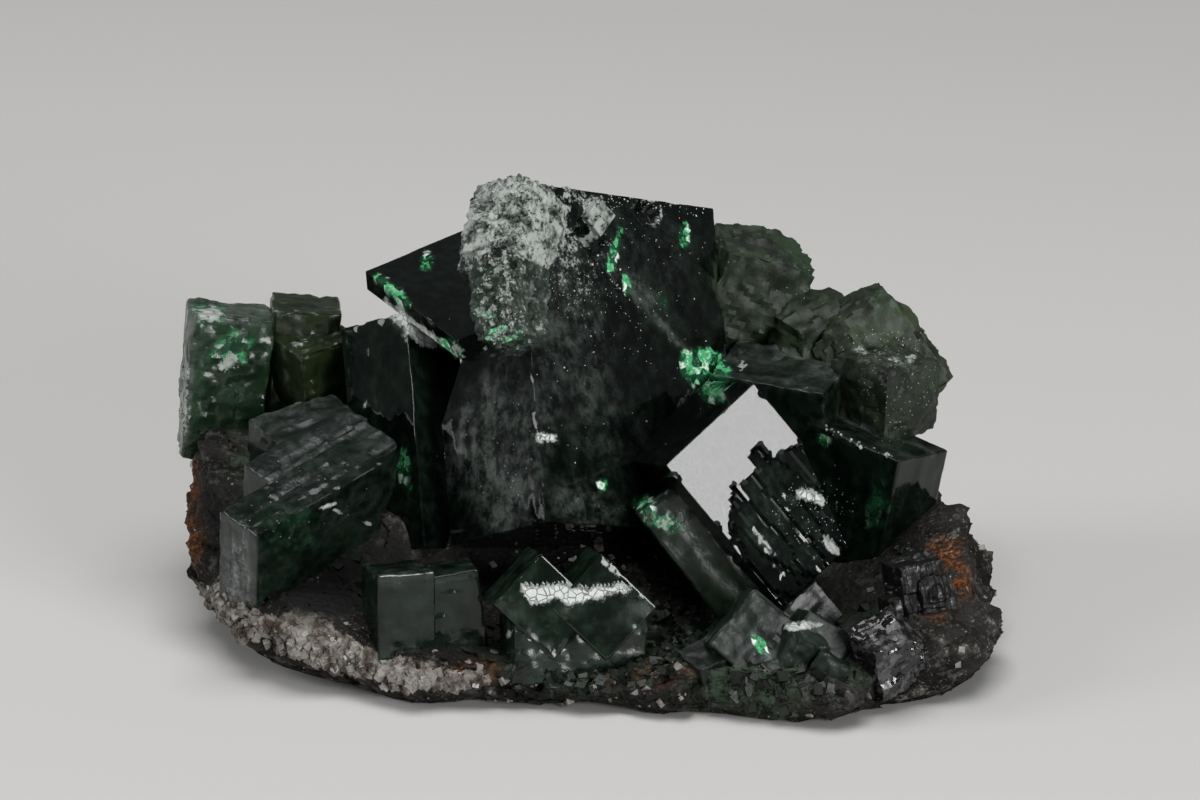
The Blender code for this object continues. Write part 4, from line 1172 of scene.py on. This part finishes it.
for piece, group in ((mainPiece, mainCrystals), (lowPiece, lowLeftCrystals), (backPiece, backLeftCrystals),
                     (frontPiece, frontCrystals), (sugaryPiece, sugaryCrystals)):
    points, normals = pointsOf(piece), normalsOf(piece)
    own = nearestValues(points, group, ("milk", "tone", "frostAndHighlight", "etch", "olive"))
    # Frost of the crystals, with the painted highlights of the marks on it.
    frostAndHighlight = np.maximum(frontMarks(points, normals, {**frostAndHighlightSpots, **brokenHalfHighlights}, 1.2, 71),
                       frontOutlines(points, normals, frostAndHighlightShapes))
    writeValue(piece, "frostAndHighlight", np.maximum(own["frostAndHighlight"], frostAndHighlight))
    writeValue(piece, "silverAndGlimmer", silverAndGlimmerStreaks(points, group))
    writeValue(piece, "veilAndSheen", frontMarks(points, normals, veilAndSheenSpots, 5.0, 76))
    writeValue(piece, "etch", np.maximum(own["etch"], frontMarks(points, normals, etchSpots, 1.2, 77)))
    writeValue(piece, "milk", np.maximum(own["milk"], frontMarks(points, normals, milkSpots, 4.0, 72)))
    writeValue(piece, "tone", own["tone"])
    writeValue(piece, "olive", own["olive"])
    # Painted light: glints and white sparkles.
    writeValue(piece, "paintedGlint", frontMarks(points, normals, paintedGlintSpots, 1.0, 73))
    writeValue(piece, "paintedSparkleDensity", np.maximum(0.06, frontMarks(points, normals, paintedSparkleSpots, 5.0, 74)))

# Marks on the rock, given the same way.
rustSpots = {
    "rightHollow": (942, 580, 30, 46, 10, 1.0), "leftSide": (190, 515, 18, 58, 0, 1.0),
    "leftRim": (240, 600, 20, 30, 0, 0.5), "frontLeft": (470, 672, 40, 14, 0, 0.5),
    "frontMiddle": (640, 672, 60, 20, 0, 0.4),
}
crustSpots = {
    "leftRim": (225, 600, 34, 50, 40, 0.7), "frontLeft": (320, 640, 80, 26, 20, 0.9),
    "frontMiddle": (420, 672, 70, 18, 5, 0.75), "rightSide": (965, 640, 40, 60, 10, 0.18),
    "rightShoulder": (950, 530, 30, 30, 0, 0.25), "frontRight": (900, 690, 60, 16, 0, 0.25),
}
# Painted shade: dark patches where shadow falls, under the crystals, beside them and on the rock's lower
# front.
paintedShadeSpots = {
    "belowBigFace": (540, 570, 120, 44, 0, 1.0), "belowLeftCube": (320, 565, 90, 56, 10, 1.0),
    "besideMetal": (905, 578, 24, 30, 0, 0.8), "leftSide": (214, 515, 12, 36, -15, 0.9),
    "leftShoulder": (230, 520, 60, 40, 0, 0.6), "frontFoot": (600, 700, 120, 24, 0, 0.6),
    "belowMirror": (860, 590, 60, 50, 0, 0.6), "besideTwin": (460, 640, 60, 30, 0, 0.7),
}
mossSpots = {
    "lowRight": (760, 640, 110, 80, 0, 1.0), "frontMiddle": (580, 650, 110, 50, 0, 0.7),
    "leftTop": (300, 470, 80, 60, 0, 0.8),
}
rockPoints, rockNormals = pointsOf(rockPiece), normalsOf(rockPiece)
# The dark value is painted shade.
for name, spots, fray, seed in (("rust", rustSpots, 3.0, 81), ("crust", crustSpots, 3.0, 82),
                                ("dark", paintedShadeSpots, 4.0, 83), ("moss", mossSpots, 4.0, 84)):
    writeValue(rockPiece, name, frontMarks(rockPoints, rockNormals, spots, fray, seed))

print("stage: small crystals")
# Small crystals: a green druse on the lower right, pale grains along the lower left rim
# and crumbs on the crest. sizes are the shortest and the longest side in mm, bare is how
# likely they are away from their marks, and sunk how deep a middle is in the surface, in sides.
druseForm = dict(count=1200, sizes=(0.3, 1.2), bare=0.0001, sunk=0.3, spots={
    "leftTop": (215, 450, 30, 24, 0, 0.5), "belowLeftCube": (330, 560, 60, 40, 10, 0.35),
    "lowRight": (770, 650, 90, 60, 20, 1.0), "frontMiddle": (600, 672, 110, 22, 0, 0.5),
    "besideSugary": (690, 630, 60, 50, 0, 0.8), "right": (890, 600, 50, 60, 0, 0.2)})
grainForm = dict(count=3000, sizes=(0.15, 0.9), bare=0.00004, sunk=0.2, spots={
    "frontLeft": (320, 650, 100, 16, 15, 1.0), "leftRim": (225, 600, 20, 60, 35, 0.6),
    "frontMiddle": (430, 680, 60, 9, 0, 0.7)})
crumbForm = dict(count=1300, sizes=(0.1, 0.5), bare=0.00002, sunk=0.1, spots={
    "crestTop": (515, 215, 44, 40, 0, 1.0), "crestLow": (500, 290, 24, 56, 0, 0.9),
    "crestEdge": (580, 197, 26, 7, 10, 0.4), "mirrorEdge": (844, 437, 64, 4, 24, 0.25)})


# Small cubes on the points of a piece, drawn by chance and thickest at the marks, most of
# them small, with their middles a little inside the surface and none below the rest.
def grownOn(name, piece, form, seed):
    chance = np.random.default_rng(seed)
    points, normals = pointsOf(piece), normalsOf(piece)
    weights = frontMarks(points, normals, form["spots"]) + form["bare"]
    count, (least, most) = form["count"], form["sizes"]
    chosen = chance.choice(len(points), count, replace=False, p=weights / weights.sum())
    side = chance.uniform(0, 1, count) ** 2 * (most - least) + least
    boxes = side[:, None] * chance.uniform(0.75, 1.25, (count, 3))
    places = points[chosen] + normals[chosen] * (side * -form["sunk"])[:, None]
    places[:, 2] = np.maximum(places[:, 2], side)
    return cubeHeap(name, places, boxes, manyTurns(chance.uniform(-45, 45, (count, 3))))


druse = grownOn("greenDruse", rockPiece, druseForm, 91)
grains = grownOn("paleGrains", rockPiece, grainForm, 92)
crumbs = grownOn("crestCrumbs", mainPiece, crumbForm, 93)


# Painted sparkle highlights: tiny bright white cubes strewn in rows over the big face, each
# row running between two places on the sheet, met with the face along the line of sight.
def paintedSparkleRows(name, spec, form, seed):
    chance = np.random.default_rng(seed)
    starts, ends, counts, spreads = (np.array(part, float) for part in zip(*form["rows"]))
    row = np.repeat(np.arange(len(form["rows"])), counts.astype(int))
    along = chance.uniform(0, 1, len(row))[:, None]
    place = starts[row] * (1 - along) + ends[row] * along
    place = place + chance.normal(0, 1, (len(row), 2)) * spreads[row][:, None]
    aside, below = (place[:, :1] - sheetMiddle[0]) / sheetScale, (sheetMiddle[1] - place[:, 1:]) / sheetScale
    ray = -viewBack + aside * (1, 0, 0) + below * viewUp
    eye = viewTarget + viewBack * view["distance"]
    turn, centre = placeOf(spec)
    outward = -turn[:, 1]
    onFace = centre + shift + outward * spec["size"][1] / 2
    places = eye + ray * (((onFace - eye) @ outward) / (ray @ outward))[:, None]
    side = form["least"] + form["more"] * chance.uniform(0, 1, len(row)) ** 4
    boxes = side[:, None] * chance.uniform(0.7, 1.3, (len(row), 3))
    return cubeHeap(name, places, boxes, manyTurns(chance.uniform(-45, 45, (len(row), 3))))


# Rows of painted sparkle specks: start, end, how many, and how far they stray. least and
# more give the shortest side and what the longest has more, in mm.
paintedSparkleForm = dict(least=0.045, more=0.13, rows=(
    ((592, 262), (662, 330), 44, 1.0), ((585, 268), (650, 342), 26, 1.2), ((600, 250), (690, 335), 24, 2),
    ((600, 238), (706, 391), 60, 4), ((604, 232), (626, 290), 26, 3), ((590, 197), (705, 212), 60, 3),
    ((560, 300), (640, 420), 30, 12), ((620, 230), (700, 300), 20, 14), ((545, 250), (600, 420), 30, 14),
    ((640, 320), (700, 340), 10, 6), ((548, 330), (575, 480), 24, 8), ((660, 215), (690, 320), 14, 10)))
paintedSparkleSpecks = paintedSparkleRows("paintedFaceSparkles", mainCrystals["mainBlock"], paintedSparkleForm, 95)

# What the fluorite shader reads on the small crystals, the same all over each piece.
usualValues = dict(paintedGlint=0.0, paintedSparkleDensity=0.2, veilAndSheen=0.1, olive=0.3, silverAndGlimmer=0.0)
for piece, values in ((druse, dict(milk=0.35, tone=0.35, frostAndHighlight=0.0, etch=0.7)),
                      (crumbs, dict(milk=0.8, tone=0.3, frostAndHighlight=0.6, etch=0.7)),
                      # Fully white specks: painted sparkle highlights.
                      (paintedSparkleSpecks, dict(milk=0.9, tone=0.5, frostAndHighlight=1.0, etch=0.3))):
    for name, value in {**values, **usualValues}.items():
        writeValue(piece, name, np.full(len(piece.data.vertices), value))

print("stage: finishes")
oliveLook = dict(fluoriteLook, grey=(0.014, 0.017, 0.008), green=(0.034, 0.095, 0.050))
green, olive = fluoriteFinish("fluorite", fluoriteLook), fluoriteFinish("fluoriteOlive", oliveLook)
for piece, finish, slot, node in (
    (mainPiece, green, "fluorite", "fluorite_main"),
    (lowPiece, green, "fluorite", "fluorite_low_left"),
    (backPiece, olive, "fluorite_olive", "fluorite_back_left"),
    (frontPiece, green, "fluorite", "fluorite_front_twin"),
    (sugaryPiece, green, "fluorite", "fluorite_sugary"),
    (metalPiece, galenaFinish(galenaLook), "galena", "galena"),
    (glassyPiece, calciteFinish(calciteLook), "calcite", "calcite"),
    (rockPiece, rockFinish(rockLook), "matrix", "matrix"),
    (druse, green, "fluorite", "fluorite_sugary"),
    (crumbs, green, "fluorite", "fluorite_main"),
    (paintedSparkleSpecks, green, "fluorite", "fluorite_main"),
    (grains, grainFinish(grainLook), "matrix", "matrix"),
):
    piece.data.materials.clear()
    piece.data.materials.append(finish)
    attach(piece, "root")
    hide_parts(node)

print("stage: floor, light and camera")
target = Vector(viewTarget * mm)
cameraData = bpy.data.cameras.new("camera")
cameraData.lens = view["lens"]
cameraData.sensor_width = view["sensor"]
cameraData.clip_end = 20
camera = newObject("camera", cameraData)
camera.location = target + Vector(viewBack) * view["distance"] * mm
camera.rotation_euler = Vector(-viewBack).to_track_quat("-Z", "Y").to_euler()
bpy.context.scene.camera = camera

# The studio, in metres: half the floor's side and how far it lies under the resting face,
# its colour, the colour of the air, and each light's way from the cluster, size and watts.
studio = dict(
    floorReach=4, floorDrop=0.0002, floorColour=(0.62, 0.61, 0.60, 1), floorRoughness=0.8,
    air=(0.11, 0.114, 0.118, 1), lightDistance=1.0,
    lights=dict(overhead=dict(direction=(0.0, -0.1, 1), size=(0.8, 0.8), strength=7.5),
                mirrorLight=dict(direction=(0.563, -0.793, 0.224), size=(0.36, 0.36), strength=6.0),
                leftLight=dict(direction=(-1, -0.1, 0.45), size=(0.35, 0.5), strength=3.0)),
)
floorMesh = bpy.data.meshes.new("floor")
reach, drop = studio["floorReach"], studio["floorDrop"]
floorCorners = [(x * reach, y * reach, -drop) for x, y in ((-1, -1), (1, -1), (1, 1), (-1, 1))]
floorMesh.from_pydata(floorCorners, [], [(0, 1, 2, 3)])
floor = newObject("floor", floorMesh)
floorFinish = Finish("paleFloor")
floorFinish.set(Base_Color=studio["floorColour"], Roughness=studio["floorRoughness"])
floor.data.materials.append(floorFinish.material)


def softbox(name, direction, size, strength):
    data = bpy.data.lights.new(name, "AREA")
    data.shape = "RECTANGLE"
    data.size, data.size_y = size
    data.energy = strength
    lamp = newObject(name, data)
    way = Vector(direction).normalized()
    lamp.location = target + way * studio["lightDistance"]
    lamp.rotation_euler = way.to_track_quat("Z", "Y").to_euler()


for name, light in studio["lights"].items():
    softbox(name, **light)

world = bpy.data.worlds.new("studio")
world.use_nodes = True
world.node_tree.nodes["Background"].inputs[0].default_value = studio["air"]
bpy.context.scene.world = world
bpy.context.scene.view_settings.view_transform = "Standard"
